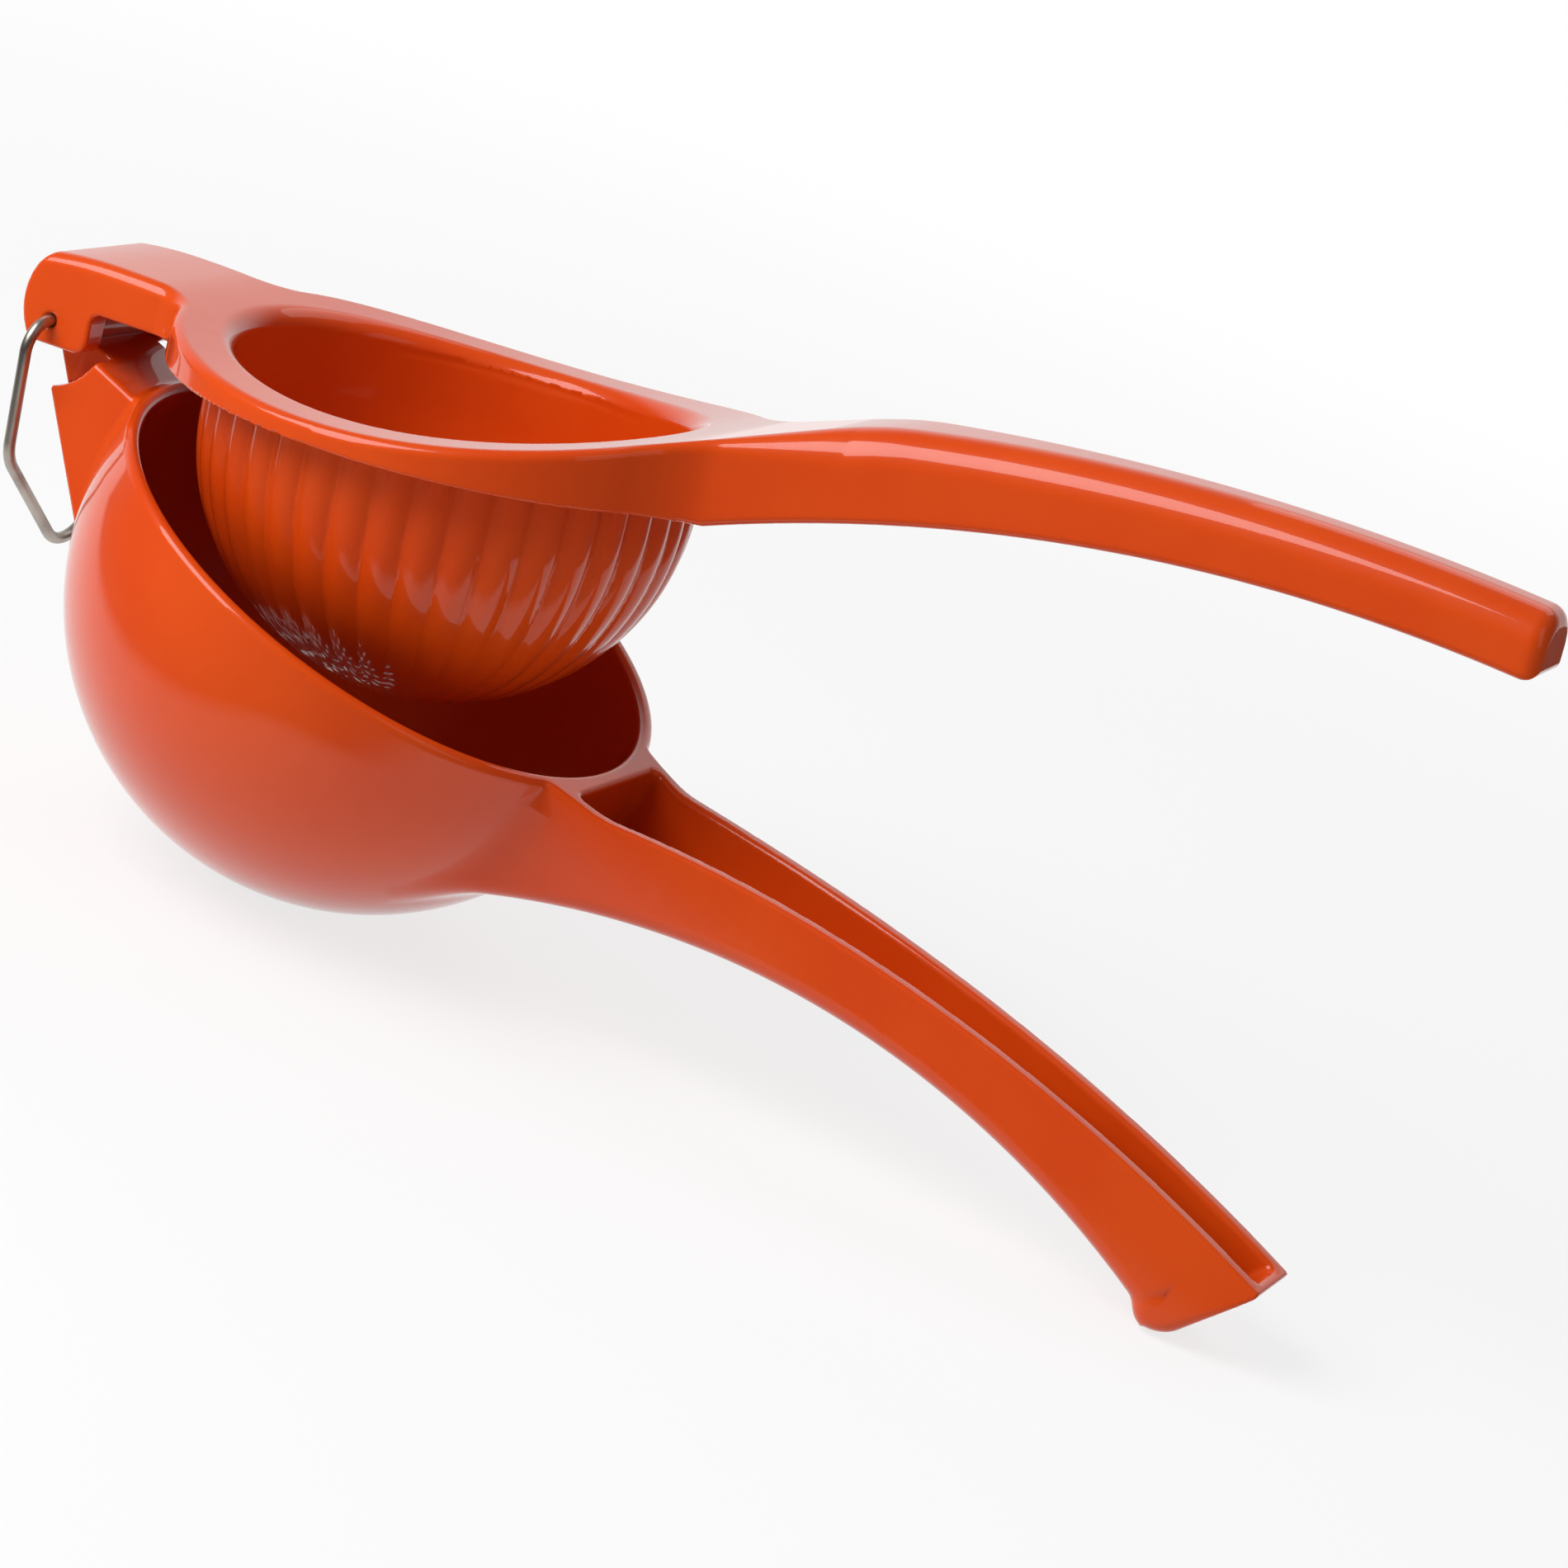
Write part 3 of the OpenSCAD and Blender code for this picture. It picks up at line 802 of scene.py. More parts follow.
@dataclass(frozen=True)
class Casting(ABC):
    """One enamelled casting, as a solid in the arm's frame."""

    layout: Layout = field(default_factory=Layout)
    finish: Enamel = field(default_factory=Enamel)
    fine_cell: float = 0.55
    quick_cell: float = 1.1
    most_triangles: int = 190_000
    feel: float = 0.7
    normal_step: float = 0.03
    room: float = 2.0

    @property
    @abstractmethod
    def lift(self) -> float:
        """Angle by which the arm is opened."""

    @property
    @abstractmethod
    def reach(self) -> tuple[tuple[float, float, float], tuple[float, float, float]]:
        """Corners of a box that holds the casting."""

    @abstractmethod
    def solid(self, x: Array, y: Array, z: Array) -> Array:
        """Distances to the casting's metal."""

    def net(self) -> SurfaceNet:
        """Net over the casting."""
        low, high = self.reach
        return SurfaceNet(self.solid, low, high, self.fine_cell)

    def thinned(self, points: Array, quads: Array) -> tuple[Array, Array]:
        """Mesh with fewer triangles where the surface is flat.

        Args:
            points: Vertices, one row each.
            quads: Faces.

        Returns:
            Vertices and triangles of the lighter mesh.
        """
        mesh = bpy.data.meshes.new("net")
        mesh.from_pydata(points, [], quads)
        holder = stand("net", mesh)
        thinner = holder.modifiers.new("lightened", "DECIMATE")
        thinner.ratio = min(1.0, self.most_triangles / (2 * len(quads)))
        lighter = holder.evaluated_get(bpy.context.evaluated_depsgraph_get()).to_mesh()
        lighter.calc_loop_triangles()
        corners = np.empty(len(lighter.vertices) * 3, np.float32)
        lighter.vertices.foreach_get("co", corners)
        triangles = np.empty(len(lighter.loop_triangles) * 3, np.int32)
        lighter.loop_triangles.foreach_get("vertices", triangles)
        result = corners.reshape(-1, 3).astype(float), triangles.reshape(-1, 3)
        holder.to_mesh_clear()
        bpy.data.objects.remove(holder)
        bpy.data.meshes.remove(mesh)
        return result

    def build(self, name: str) -> bpy.types.Object:
        """Build and dress the casting.

        Args:
            name: Name of the piece.

        Returns:
            The piece, where it stands.
        """
        net = self.net()
        points, faces = self.thinned(*net.mesh())
        points = net.drawn(points, 1)
        normals = net.outwards(points, self.normal_step)
        # How hollow and how convex the surface is; the enamel paints shade into hollows and highlights
        # onto edges from these, and its chips follow the edges.
        hollow = 1 - net.distance(points + normals * self.feel) / self.feel
        edge = 1 + net.distance(points - normals * self.feel) / self.feel
        mesh = bpy.data.meshes.new(name)
        mesh.from_pydata(self.layout.placed(points, self.lift) * MM, [], faces)
        mesh.shade_smooth()
        mesh.normals_split_custom_set_from_vertices(self.layout.turned(normals, self.lift))
        for label, values in (("hollow", hollow), ("edge", edge)):
            attribute = mesh.attributes.new(label, "FLOAT", "POINT")
            attribute.data.foreach_set("value", np.clip(values, 0.0, 1.0).astype(np.float32))
        mesh.materials.append(self.finish.material(name + "_enamel"))
        log.info("%s: %d triangles", name, len(faces))
        return stand(name, mesh)


@dataclass(frozen=True)
class LowerArm(Casting):
    """Strainer bowl with its hinge lug and channelled handle."""

    slot_width: float = 2.2
    slot_length: float = 5.0
    slot_ring: float = 17.5
    slot_ring_step: float = 7.5
    slot_pitch: float = 6.7
    middle_hole: float = 3.1
    slot_edge: float = 0.35
    upperside: Arc = Arc(139.0, 13.2, 298.0)
    top_ease: float = 0.8
    under_growth: float = 0.28
    under_round: tuple[float, float] = (0.5, 3.0)
    heel_ease: float = 1.2
    end_tip: float = 0.4
    tip_edge: float = 0.3
    end_wall: float = 1.8
    floor: float = 2.8
    root_web: float = 2.9
    root_in: float = 9.5
    root_fillet: float = 2.6
    least_fillet: float = 0.3
    fillet_growth: float = 0.6
    least_lip: float = 0.8
    lip_fade: float = 0.1
    lip_flat: float = 0.05
    channel_edge: float = 0.9
    channel_corner: float = 1.6
    channel_foot: float = 1.3
    lug_slope: float = math.radians(42.0)
    lug_back: float = 2.2
    lug_waist: float = 1.0
    lug_corner: float = 0.6
    slope_edge: float = 0.7
    back_edge: float = 0.3
    lug_edge: float = 0.9
    lug_fillet: float = 1.5
    scoop: float = 9.6
    scoop_edge: float = 0.5
    bore_edge: float = 0.3
    lug_room: float = 24.0
    ball_room: float = 9.0
    top_z: float = 15.0

    @property
    def lift(self) -> float:
        """The lower arm stands as it is."""
        return 0.0

    @property
    def reach(self) -> tuple[tuple[float, float, float], tuple[float, float, float]]:
        """Corners of a box that holds the bowl, the lug and the handle.

        Returns:
            The lowest and the highest corner.
        """
        r, room = self.layout.bowl_radius, self.room
        low = (-r - self.lug_room, -r - room, -r - self.ball_room)
        return low, (self.layout.handle_end + room, r + room, self.top_z)

    @property
    def tip(self) -> tuple[float, float]:
        """Tip of the handle, where its end wall meets its upper edge."""
        x = self.layout.handle_end
        return x, self.upperside.height(x)

    @property
    def end_lean(self) -> float:
        """Slope of the handle's end wall, from the tip down to the heel.

        Returns:
            The angle.
        """
        x, z = self.layout.heel
        tip_x, tip_z = self.tip
        swing = math.asin(self.layout.heel_radius / math.hypot(x - tip_x, z - tip_z))
        return math.atan2(z - tip_z, x - tip_x) + swing

    def below_end(self, x: Array, z: Array) -> Array:
        """Distances outside the handle's slanting end wall.

        Args:
            x: Places along the arm.
            z: Heights above the rim.

        Returns:
            The distances.
        """
        tip_x, tip_z = self.tip
        lean = self.end_lean
        return (z - tip_z) * math.cos(lean) - (x - tip_x) * math.sin(lean)

    def underside(self, x: Array, z: Array) -> Array:
        """Distances below the handle's underside and its heel.

        Args:
            x: Places along the arm.
            z: Heights above the rim.

        Returns:
            The distances.
        """
        shared = self.layout
        heel_x, heel_z = shared.heel
        foot = shared.heel_radius
        front = inside_edge(heel_z - foot - z, self.below_end(x, z), foot)
        heel = np.where(x > heel_x, front, np.hypot(x - heel_x, z - heel_z) - foot)
        under = np.maximum(-shared.lower_underside.above(x, z), self.below_end(x, z) + foot)
        return eased(under, heel, self.heel_ease)

    def topside(self, x: Array, z: Array) -> Array:
        """Distances above the bowl's rim and the handle's upper edge."""
        return eased(z, self.upperside.above(x, z), self.top_ease)

    def handle(self, x: Array, y: Array, z: Array) -> Array:
        """Distances to the handle, not yet cut off at the top."""
        rounding = np.clip((self.layout.handle_end - x) * self.under_growth, *self.under_round)
        return inside_edge(self.layout.beside_handle(x, y), self.underside(x, z), rounding)

    def channel(self, x: Array, y: Array, z: Array) -> Array:
        """Distances to the open channel of the handle.

        Args:
            x: Places along the arm.
            y: Places across it.
            z: Heights above the rim.

        Returns:
            The distances.
        """
        shared = self.layout
        wall = shared.handle_wall
        end_wall = self.below_end(x + self.end_wall / abs(math.sin(self.end_lean)), z)
        floor = np.maximum(self.floor - shared.lower_underside.above(x, z), end_wall)
        root = shared.bowl_inside + self.root_web - x
        plan = inside_edge(shared.beside_handle(x, y, wall), root, self.channel_corner)
        return inside_edge(plan, floor, self.channel_foot)

    def lug(self, x: Array, y: Array, z: Array) -> Array:
        """Distances to the hinge lug with its knuckle and the scoops beside it.

        Args:
            x: Places along the arm.
            y: Places across it.
            z: Heights above the rim.

        Returns:
            The distances.
        """
        shared = self.layout
        hx, hz = shared.from_hinge(x, z)
        lean_c, lean_s = math.cos(self.lug_slope), math.sin(self.lug_slope)
        u, v = hx * lean_c - hz * lean_s, hx * lean_s + hz * lean_c
        block = np.maximum(inside_edge(-hx, hz, self.lug_corner), hx - shared.hinge_reach - self.root_in)
        block = np.minimum(block, np.hypot(hx, hz) - shared.knuckle)
        block = cut(block, np.maximum(self.lug_waist - u, v + self.lug_back), self.slope_edge)
        block = cut(block, np.maximum(u - shared.knuckle, v + shared.knuckle), self.back_edge)
        block = inside_edge(block, np.abs(y) - shared.hinge_width / 2, self.lug_edge)
        scoops = np.maximum(np.hypot(hx, hz) - self.scoop, shared.knuckle_width / 2 - np.abs(y))
        return cut(block, scoops, self.scoop_edge)

    def slots(self, x: Array, y: Array, z: Array) -> Array:
        """Distances to the rings of juice slots and the hole in their middle.

        Args:
            x: Places along the arm.
            y: Places across it.
            z: Heights above the rim.

        Returns:
            The distances.
        """
        r, angle = np.hypot(x, y), np.arctan2(y, x)
        nearest = r - self.middle_hole / 2
        straight = (self.slot_length - self.slot_width) / 2
        ring = self.slot_ring
        while ring >= self.slot_length:
            step = math.pi / round(math.pi * ring / self.slot_pitch)
            off = angle % step - step / 2
            outwards = np.maximum(np.abs(r * np.cos(off) - ring) - straight, 0.0)
            slot = np.hypot(outwards, r * np.sin(off)) - self.slot_width / 2
            nearest = np.minimum(nearest, slot)
            ring -= self.slot_ring_step
        return np.maximum(nearest, z + self.layout.bowl_inside / 3)

    def solid(self, x: Array, y: Array, z: Array) -> Array:
        """Distances to the casting's metal.

        Args:
            x: Places along the arm.
            y: Places across it.
            z: Heights above the rim.

        Returns:
            The distances.
        """
        shared = self.layout
        lip = shared.bowl_wall / 2
        bowl = deep_dish(x, y, z, shared.bowl_radius, shared.bowl_collar)
        root = np.maximum(self.handle(x, y, z), shared.bowl_radius - self.root_in - x)
        fillet = np.clip(-self.fillet_growth * z, self.least_fillet, self.root_fillet)
        body = filleted(bowl, root, fillet)
        rounding = np.clip(lip - (x - shared.bowl_radius) * self.lip_fade, self.least_lip, lip)
        body = inside_edge(body, self.topside(x, z), rounding)
        body = inside_edge(body, x - (shared.handle_end - self.end_tip), self.tip_edge)
        body = filleted(body, self.lug(x, y, z), self.lug_fillet)
        inside = deep_dish(x, y, z, shared.bowl_inside, shared.bowl_collar)
        body = cut(body, inside, lip - self.lip_flat)
        body = cut(body, self.channel(x, y, z), self.channel_edge)
        body = cut(body, self.slots(x, y, z), self.slot_edge)
        return cut(body, shared.hinge_bore(x, z), self.bore_edge)


@dataclass(frozen=True)
class UpperArm(Casting):
    """Ribbed press cup under its saddle-topped flange, with hinge block and rounded handle."""

    peel_gap: float = 6.2
    cup_drop: float = 5.1
    cup_wall: float = 2.2
    ribs: int = 40
    rib_rise: float = 0.9
    rib_turn: float = math.radians(2.0)
    groove: float = 0.22
    rib_fade: float = 3.5
    bead_power: float = 0.8
    cup_fillet: float = 0.4
    flange_step: float = 1.3
    flange_shift: float = 0.9
    flange_thick: float = 3.3
    shut_gap: float = 0.7
    saddle_radius: float = 150.0
    saddle_back: float = 5.5
    edge: float = 1.7
    block_edge: float = 2.2
    block_edge_run: float = 8.0
    under_edge: float = 0.5
    mouth: float = 2.6
    mouth_end: float = 0.3
    back_radius: float = 10.6
    rear: float = 5.2
    rear_rise: float = 2.6
    rear_edge: float = 1.0
    foot: float = 3.6
    toe: float = 6.8
    toe_radius: float = 2.2
    toe_fillet: float = 1.5
    block_height: float = 10.7
    crown_radius: float = 70.0
    crown_front_radius: float = 200.0
    crown_front: float = -28.0
    crown_ease: float = 1.2
    crown_x: float = 8.0
    block_step: float = 0.3
    pocket_roof: float = 3.3
    pocket_reach: float = 1.5
    pocket_edge: float = 0.5
    bore_mouth: float = 0.65
    underside: Arc = Arc(138.0, 16.2, 273.0)
    upperside: Arc = Arc(130.0, 26.4, 357.0)
    brow_x: float = 20.5
    brow_in: float = 1.5
    brow_sink: float = 0.15
    brow_meet: float = 1.2
    brow_ease: float = 0.6
    brow_ease_run: float = 8.0
    least_ease: float = 0.02
    top_round: float = 5.6
    top_growth: float = 0.21
    under_round: float = 1.2
    end_round: float = 2.4
    roof: float = 3.0
    hollow_start: float = 8.0
    hollow_corner: float = 1.5
    hollow_round: float = 1.3
    hollow_edge: float = 0.8
    root_fillet: float = 5.0
    block_fillet: float = 4.0
    block_room: float = 30.0
    cup_room: float = 1.0
    top_z: float = 30.0

    @property
    def lift(self) -> float:
        """The upper arm stands open."""
        return self.layout.opening

    @property
    def reach(self) -> tuple[tuple[float, float, float], tuple[float, float, float]]:
        """Corners of a box that holds the cup, the flange, the hinge block and the handle.

        Returns:
            The lowest and the highest corner.
        """
        r, room = self.layout.bowl_radius, self.room
        low = (-r - self.block_room, -r - room, -r + self.cup_room)
        return low, (self.layout.handle_end + room, r + room, self.top_z)

    @property
    def cup_radius(self) -> float:
        """Radius of the cup in its grooves."""
        return self.layout.bowl_inside - self.peel_gap - self.rib_rise

    @property
    def cup_inside(self) -> float:
        """Inside radius of the cup."""
        return self.cup_radius - self.cup_wall

    @property
    def flange_radius(self) -> float:
        """Outer radius of the flange."""
        return self.layout.bowl_radius - self.flange_step

    @property
    def saddle_z(self) -> float:
        """Height of the flange's top at the saddle's lowest line."""
        return self.shut_gap + self.flange_thick

    @property
    def bridge_under(self) -> float:
        """Height of the bridge's underside above the hinge axis."""
        return self.shut_gap + self.layout.hinge_drop + self.block_step

    def above_saddle(self, x: Array, z: Array) -> Array:
        """Distances above the flange's hollow top."""
        rise = z - self.saddle_z - self.saddle_radius
        return self.saddle_radius - np.hypot(x + self.saddle_back, rise)

    def rim(self, x: Array, y: Array) -> Array:
        """Distances outside the flange's round edge, seen from above."""
        return np.hypot(x - self.flange_shift, y) - self.flange_radius

    def outline(self, x: Array, y: Array) -> Array:
        """Distances outside the casting seen from above: hinge block, flange and handle.

        Args:
            x: Places along the arm.
            y: Places across it.

        Returns:
            The distances, with the corners between the three filleted.
        """
        shared = self.layout
        block = np.maximum(np.abs(y) - shared.hinge_width / 2, x + self.cup_inside)
        handle = np.maximum(shared.beside_handle(x, y), self.cup_radius + self.cup_wall - x)
        return filleted(filleted(self.rim(x, y), block, self.block_fillet), handle, self.root_fillet)

    def above(self, x: Array, z: Array) -> Array:
        """Distances above the casting's top: the block's crown, the saddle and the handle.

        Args:
            x: Places along the arm.
            z: Heights above the rim.

        Returns:
            The distances.
        """
        shared = self.layout
        saddle, brow = self.above_saddle(x, z), self.topside(x, z)
        hx, hz = shared.from_hinge(x, z)
        bend = np.where(hx < self.crown_x, self.crown_radius, self.crown_front_radius)
        crown = np.hypot(hx - self.crown_x, hz - self.block_height + bend) - bend
        behind = -eased(-saddle, -crown, self.crown_ease)
        run = np.clip((shared.bowl_radius - x) / self.brow_ease_run, self.least_ease, 1.0)
        ease = self.brow_ease * run
        front = np.where(x > shared.bowl_radius, brow, eased(saddle, brow, ease))
        return np.where(x < self.crown_front, behind, np.where(x > 0, front, saddle))

    def below(self, x: Array, y: Array, z: Array) -> Array:
        """Distances below the flange, the handle and the hinge block with its ears.

        Args:
            x: Places along the arm.
            y: Places across it.
            z: Heights above the rim.

        Returns:
            The distances.
        """
        hx, hz = self.layout.from_hinge(x, z)
        back_x = self.back_radius - self.rear
        back = np.hypot(np.minimum(hx - back_x, 0.0), hz - self.rear_rise) - self.back_radius
        toe = filleted(hx - self.toe, self.bridge_under - hz, self.toe_fillet)
        foot = inside_edge(-self.foot - hz, toe, self.toe_radius)
        block = np.where(hx < back_x, inside_edge(back, foot, self.rear_edge), foot)
        block = np.maximum(block, x + self.cup_inside + self.cup_wall / 2)
        flat = np.maximum(self.shut_gap - z, -self.underside.above(x, z))
        return np.minimum(block, np.where(x < 0, np.maximum(flat, self.rim(x, y)), flat))

    def pocket(self, x: Array, y: Array, z: Array) -> Array:
        """Distances to the pocket between the ears.

        Args:
            x: Places along the arm.
            y: Places across it.
            z: Heights above the rim.

        Returns:
            The distances.
        """
        shared = self.layout
        hx, hz = shared.from_hinge(x, z)
        roof = np.where(hx < 0, self.pocket_roof, self.bridge_under)
        pocket = np.minimum(np.hypot(hx, hz) - shared.knuckle - shared.swing_gap, hz - roof)
        pocket = np.maximum(pocket, hx - self.pocket_reach * self.toe)
        return np.maximum(pocket, np.abs(y) - shared.knuckle_width / 2 - shared.ear_gap)

    def cup(self, x: Array, y: Array, z: Array) -> Array:
        """Distances to the cup with its ribs, which fade towards its tip.

        Args:
            x: Places along the arm.
            y: Places across it.
            z: Heights above the rim.

        Returns:
            The distances.
        """
        r = np.sqrt(x**2 + y**2 + np.minimum(z + self.cup_drop, 0.0) ** 2)
        side = np.hypot(x, y) / np.maximum(r, TINY)
        wave = np.abs(np.sin((np.arctan2(y, x) - self.rib_turn) * self.ribs / 2))
        soft = self.groove
        bead = (np.sqrt(wave**2 + soft**2) - soft) / (math.sqrt(1 + soft**2) - soft)
        swell = self.rib_rise * bead**self.bead_power * side**self.rib_fade
        return np.maximum(r - self.cup_radius - swell, z - self.shut_gap - self.flange_thick / 2)

    def topside(self, x: Array, z: Array, inset: float = 0.0) -> Array:
        """Distances above the handle's straight brow and its long arc.

        Args:
            x: Places along the arm.
            z: Heights above the rim.
            inset: How far the surface is moved in.

        Returns:
            The distances, negative inside the handle.
        """
        start = self.flange_radius + self.flange_shift - self.edge - self.brow_in
        lift = self.saddle_radius - math.sqrt(self.saddle_radius**2 - (start + self.saddle_back) ** 2)
        start_z = self.saddle_z + lift - self.brow_sink
        brow = self.layout.bowl_radius + self.brow_x
        slope = (self.upperside.height(brow) - start_z) / (brow - start)
        line = (z - start_z - (x - start) * slope) / math.hypot(1, slope)
        return -eased(-line - inset, -self.upperside.above(x, z) - inset, self.brow_meet)

    def hollow(self, x: Array, y: Array, z: Array) -> Array:
        """Distances to the hollow under the handle.

        Args:
            x: Places along the arm.
            y: Places across it.
            z: Heights above the rim.

        Returns:
            The distances.
        """
        shared = self.layout
        end = shared.handle_end - shared.handle_wall - self.end_round / 2
        plan = np.maximum(shared.bowl_radius + self.hollow_start - x, x - end)
        plan = inside_edge(plan, shared.beside_handle(x, y, shared.handle_wall), self.hollow_corner)
        return inside_edge(plan, self.topside(x, z, self.roof), self.hollow_round)

    def solid(self, x: Array, y: Array, z: Array) -> Array:
        """Distances to the casting's metal.

        Args:
            x: Places along the arm.
            y: Places across it.
            z: Heights above the rim.

        Returns:
            The distances.
        """
        growth = np.maximum(0.0, x - self.layout.bowl_radius) * self.top_growth
        run = np.clip((-self.cup_radius - x) / self.block_edge_run, 0.0, 1.0)
        behind = run * (self.block_edge - self.edge)
        rounding = np.minimum(self.edge + growth + behind, self.top_round)
        body = inside_edge(self.outline(x, y), self.above(x, z), rounding)
        lower_edge = np.where(x < self.flange_radius, self.under_edge, self.under_round)
        body = inside_edge(body, self.below(x, y, z), lower_edge)
        body = inside_edge(body, x - self.layout.handle_end, self.end_round)
        body = cut(body, self.pocket(x, y, z), self.pocket_edge)
        body = filleted(body, self.cup(x, y, z), self.cup_fillet)
        depth = np.clip(-self.above_saddle(x, z) / (2 * self.mouth), 0.0, 1.0)
        mouth = self.mouth - (self.mouth - self.mouth_end) * depth**2
        body = cut(body, deep_dish(x, y, z, self.cup_inside, self.cup_drop), mouth)
        body = cut(body, self.hollow(x, y, z), self.hollow_edge)
        return cut(body, self.layout.hinge_bore(x, z), self.bore_mouth)


# ---- Wire ----


@dataclass(frozen=True)
class WireBail:
    """Bent wire whose ends are the hinge pin and whose loop is the hanging ring."""

    layout: Layout = field(default_factory=Layout)
    finish: DrawnSteel = field(default_factory=DrawnSteel)
    thickness: float = 1.8
    end_gap: float = 1.0
    leg_out: float = 5.1
    knee_drop: float = 22.0
    knee_in: float = 4.6
    loop_drop: float = 39.5
    loop_skew: float = 8.6
    far_rise: float = 7.0
    far_in: float = 0.6
    bends: tuple[float, ...] = (4.0, 8.0, 7.0, 7.0, 4.0)
    bend_steps: int = 16
    straight_steps: int = 6
    sides: int = 28

    def corners(self) -> Array:
        """Corners of the wire, from one end to the other.

        Returns:
            One (across, down) from the hinge axis for each corner.
        """
        end = self.end_gap / 2
        leg = self.layout.hinge_width / 2 + self.leg_out
        return np.array([
            (-end, 0.0),
            (-leg, 0.0),
            (self.knee_in - leg, self.knee_drop),
            (self.loop_skew, self.loop_drop),
            (leg - self.far_in, self.loop_drop - self.far_rise),
            (leg, 0.0),
            (end, 0.0),
        ])

    def route(self) -> tuple[Array, Array]:
        """Middle of the wire, with its corners bent round.

        Returns:
            Places and directions along it.
        """
        corners = self.corners()
        places, ways = [corners[0]], [self._way(corners[0], corners[1])]
        for before, corner, after, bend in zip(corners, corners[1:], corners[2:], self.bends):
            u, v = self._way(before, corner), self._way(corner, after)
            angle = math.acos(float(u @ v))
            side = math.copysign(1.0, u[0] * v[1] - u[1] * v[0])
            square = np.array([-u[1], u[0]]) * side
            start = corner - u * bend * math.tan(angle / 2)
            last = places[-1]
            for k in range(1, self.straight_steps):
                places.append(last + (start - last) * k / self.straight_steps)
                ways.append(u)
            for t in np.linspace(0, angle, self.bend_steps):
                way = u * math.cos(t) + square * math.sin(t)
                inwards = square * math.cos(t) - u * math.sin(t)
                places.append(start + (square - inwards) * bend)
                ways.append(way)
        places.append(corners[-1])
        ways.append(self._way(corners[-2], corners[-1]))
        return np.array(places), np.array(ways)

    @staticmethod
    def _way(a: Array, b: Array) -> Array:
        """Direction from a to b."""
        return (b - a) / np.linalg.norm(b - a)

    def build(self, name: str) -> bpy.types.Object:
        """Sweep and dress the wire.

        Args:
            name: Name of the piece.

        Returns:
            The piece, hanging from the hinge.
        """
        places, ways = self.route()
        pivot = Vector(hinge_place())
        radius = self.thickness / 2
        lengths = np.linalg.norm(np.diff(places, axis=0), axis=1)
        along = np.concatenate([[0.0], np.cumsum(lengths)])
        sweep = bmesh.new()
        layer = sweep.loops.layers.uv.new("UVMap")
        rings = []
        for place, way in zip(places, ways):
            out = np.array([-way[1], way[0]])
            ring = []
            for turn in np.linspace(0, 2 * math.pi, self.sides, endpoint=False):
                across, down = place + out * radius * math.cos(turn)
                spot = Vector((radius * math.sin(turn), across, -down)) * MM
                ring.append(sweep.verts.new(pivot + spot))
            rings.append(ring)
        girth = 2 * math.pi * radius
        for i in range(len(rings) - 1):
            for k in range(self.sides):
                n = (k + 1) % self.sides
                face = sweep.faces.new((rings[i][k], rings[i][n], rings[i + 1][n], rings[i + 1][k]))
                face.smooth = True
                spans = ((k, i), (k + 1, i), (k + 1, i + 1), (k, i + 1))
                for loop, (column, row) in zip(face.loops, spans):
                    loop[layer].uv = (girth * column / self.sides * MM, along[row] * MM)
        sweep.faces.new(rings[0][::-1])
        sweep.faces.new(rings[-1])
        bmesh.ops.recalc_face_normals(sweep, faces=sweep.faces)
        mesh = bpy.data.meshes.new(name)
        sweep.to_mesh(mesh)
        sweep.free()
        mesh.materials.append(self.finish.material(name + "_steel"))
        log.info("%s: %.1f mm of wire", name, along[-1])
        return stand(name, mesh)


# ---- Studio ----


@dataclass(frozen=True)
class SoftBox:
    """Rectangular soft lamp that looks at the squeezer."""

    name: str
    azimuth: float
    elevation: float
    distance: float
    width: float
    height: float
    power: float
    colour: Colour = (1.0, 1.0, 1.0)

    def build(self, aim: Vector) -> None:
        """Hang the lamp.

        Args:
            aim: Place that it looks at.
        """
        lamp = bpy.data.lights.new(self.name, "AREA")
        lamp.shape = "RECTANGLE"
        lamp.size, lamp.size_y = self.width, self.height
        lamp.energy = self.power
        lamp.color = self.colour
        holder = stand(self.name, lamp)
        turn, rise = math.radians(self.azimuth), math.radians(self.elevation)
        flat = math.cos(rise)
        way = Vector((math.sin(turn) * flat, -math.cos(turn) * flat, math.sin(rise)))
        holder.location = aim + way * self.distance
        holder.rotation_euler = way.to_track_quat("Z", "Y").to_euler()


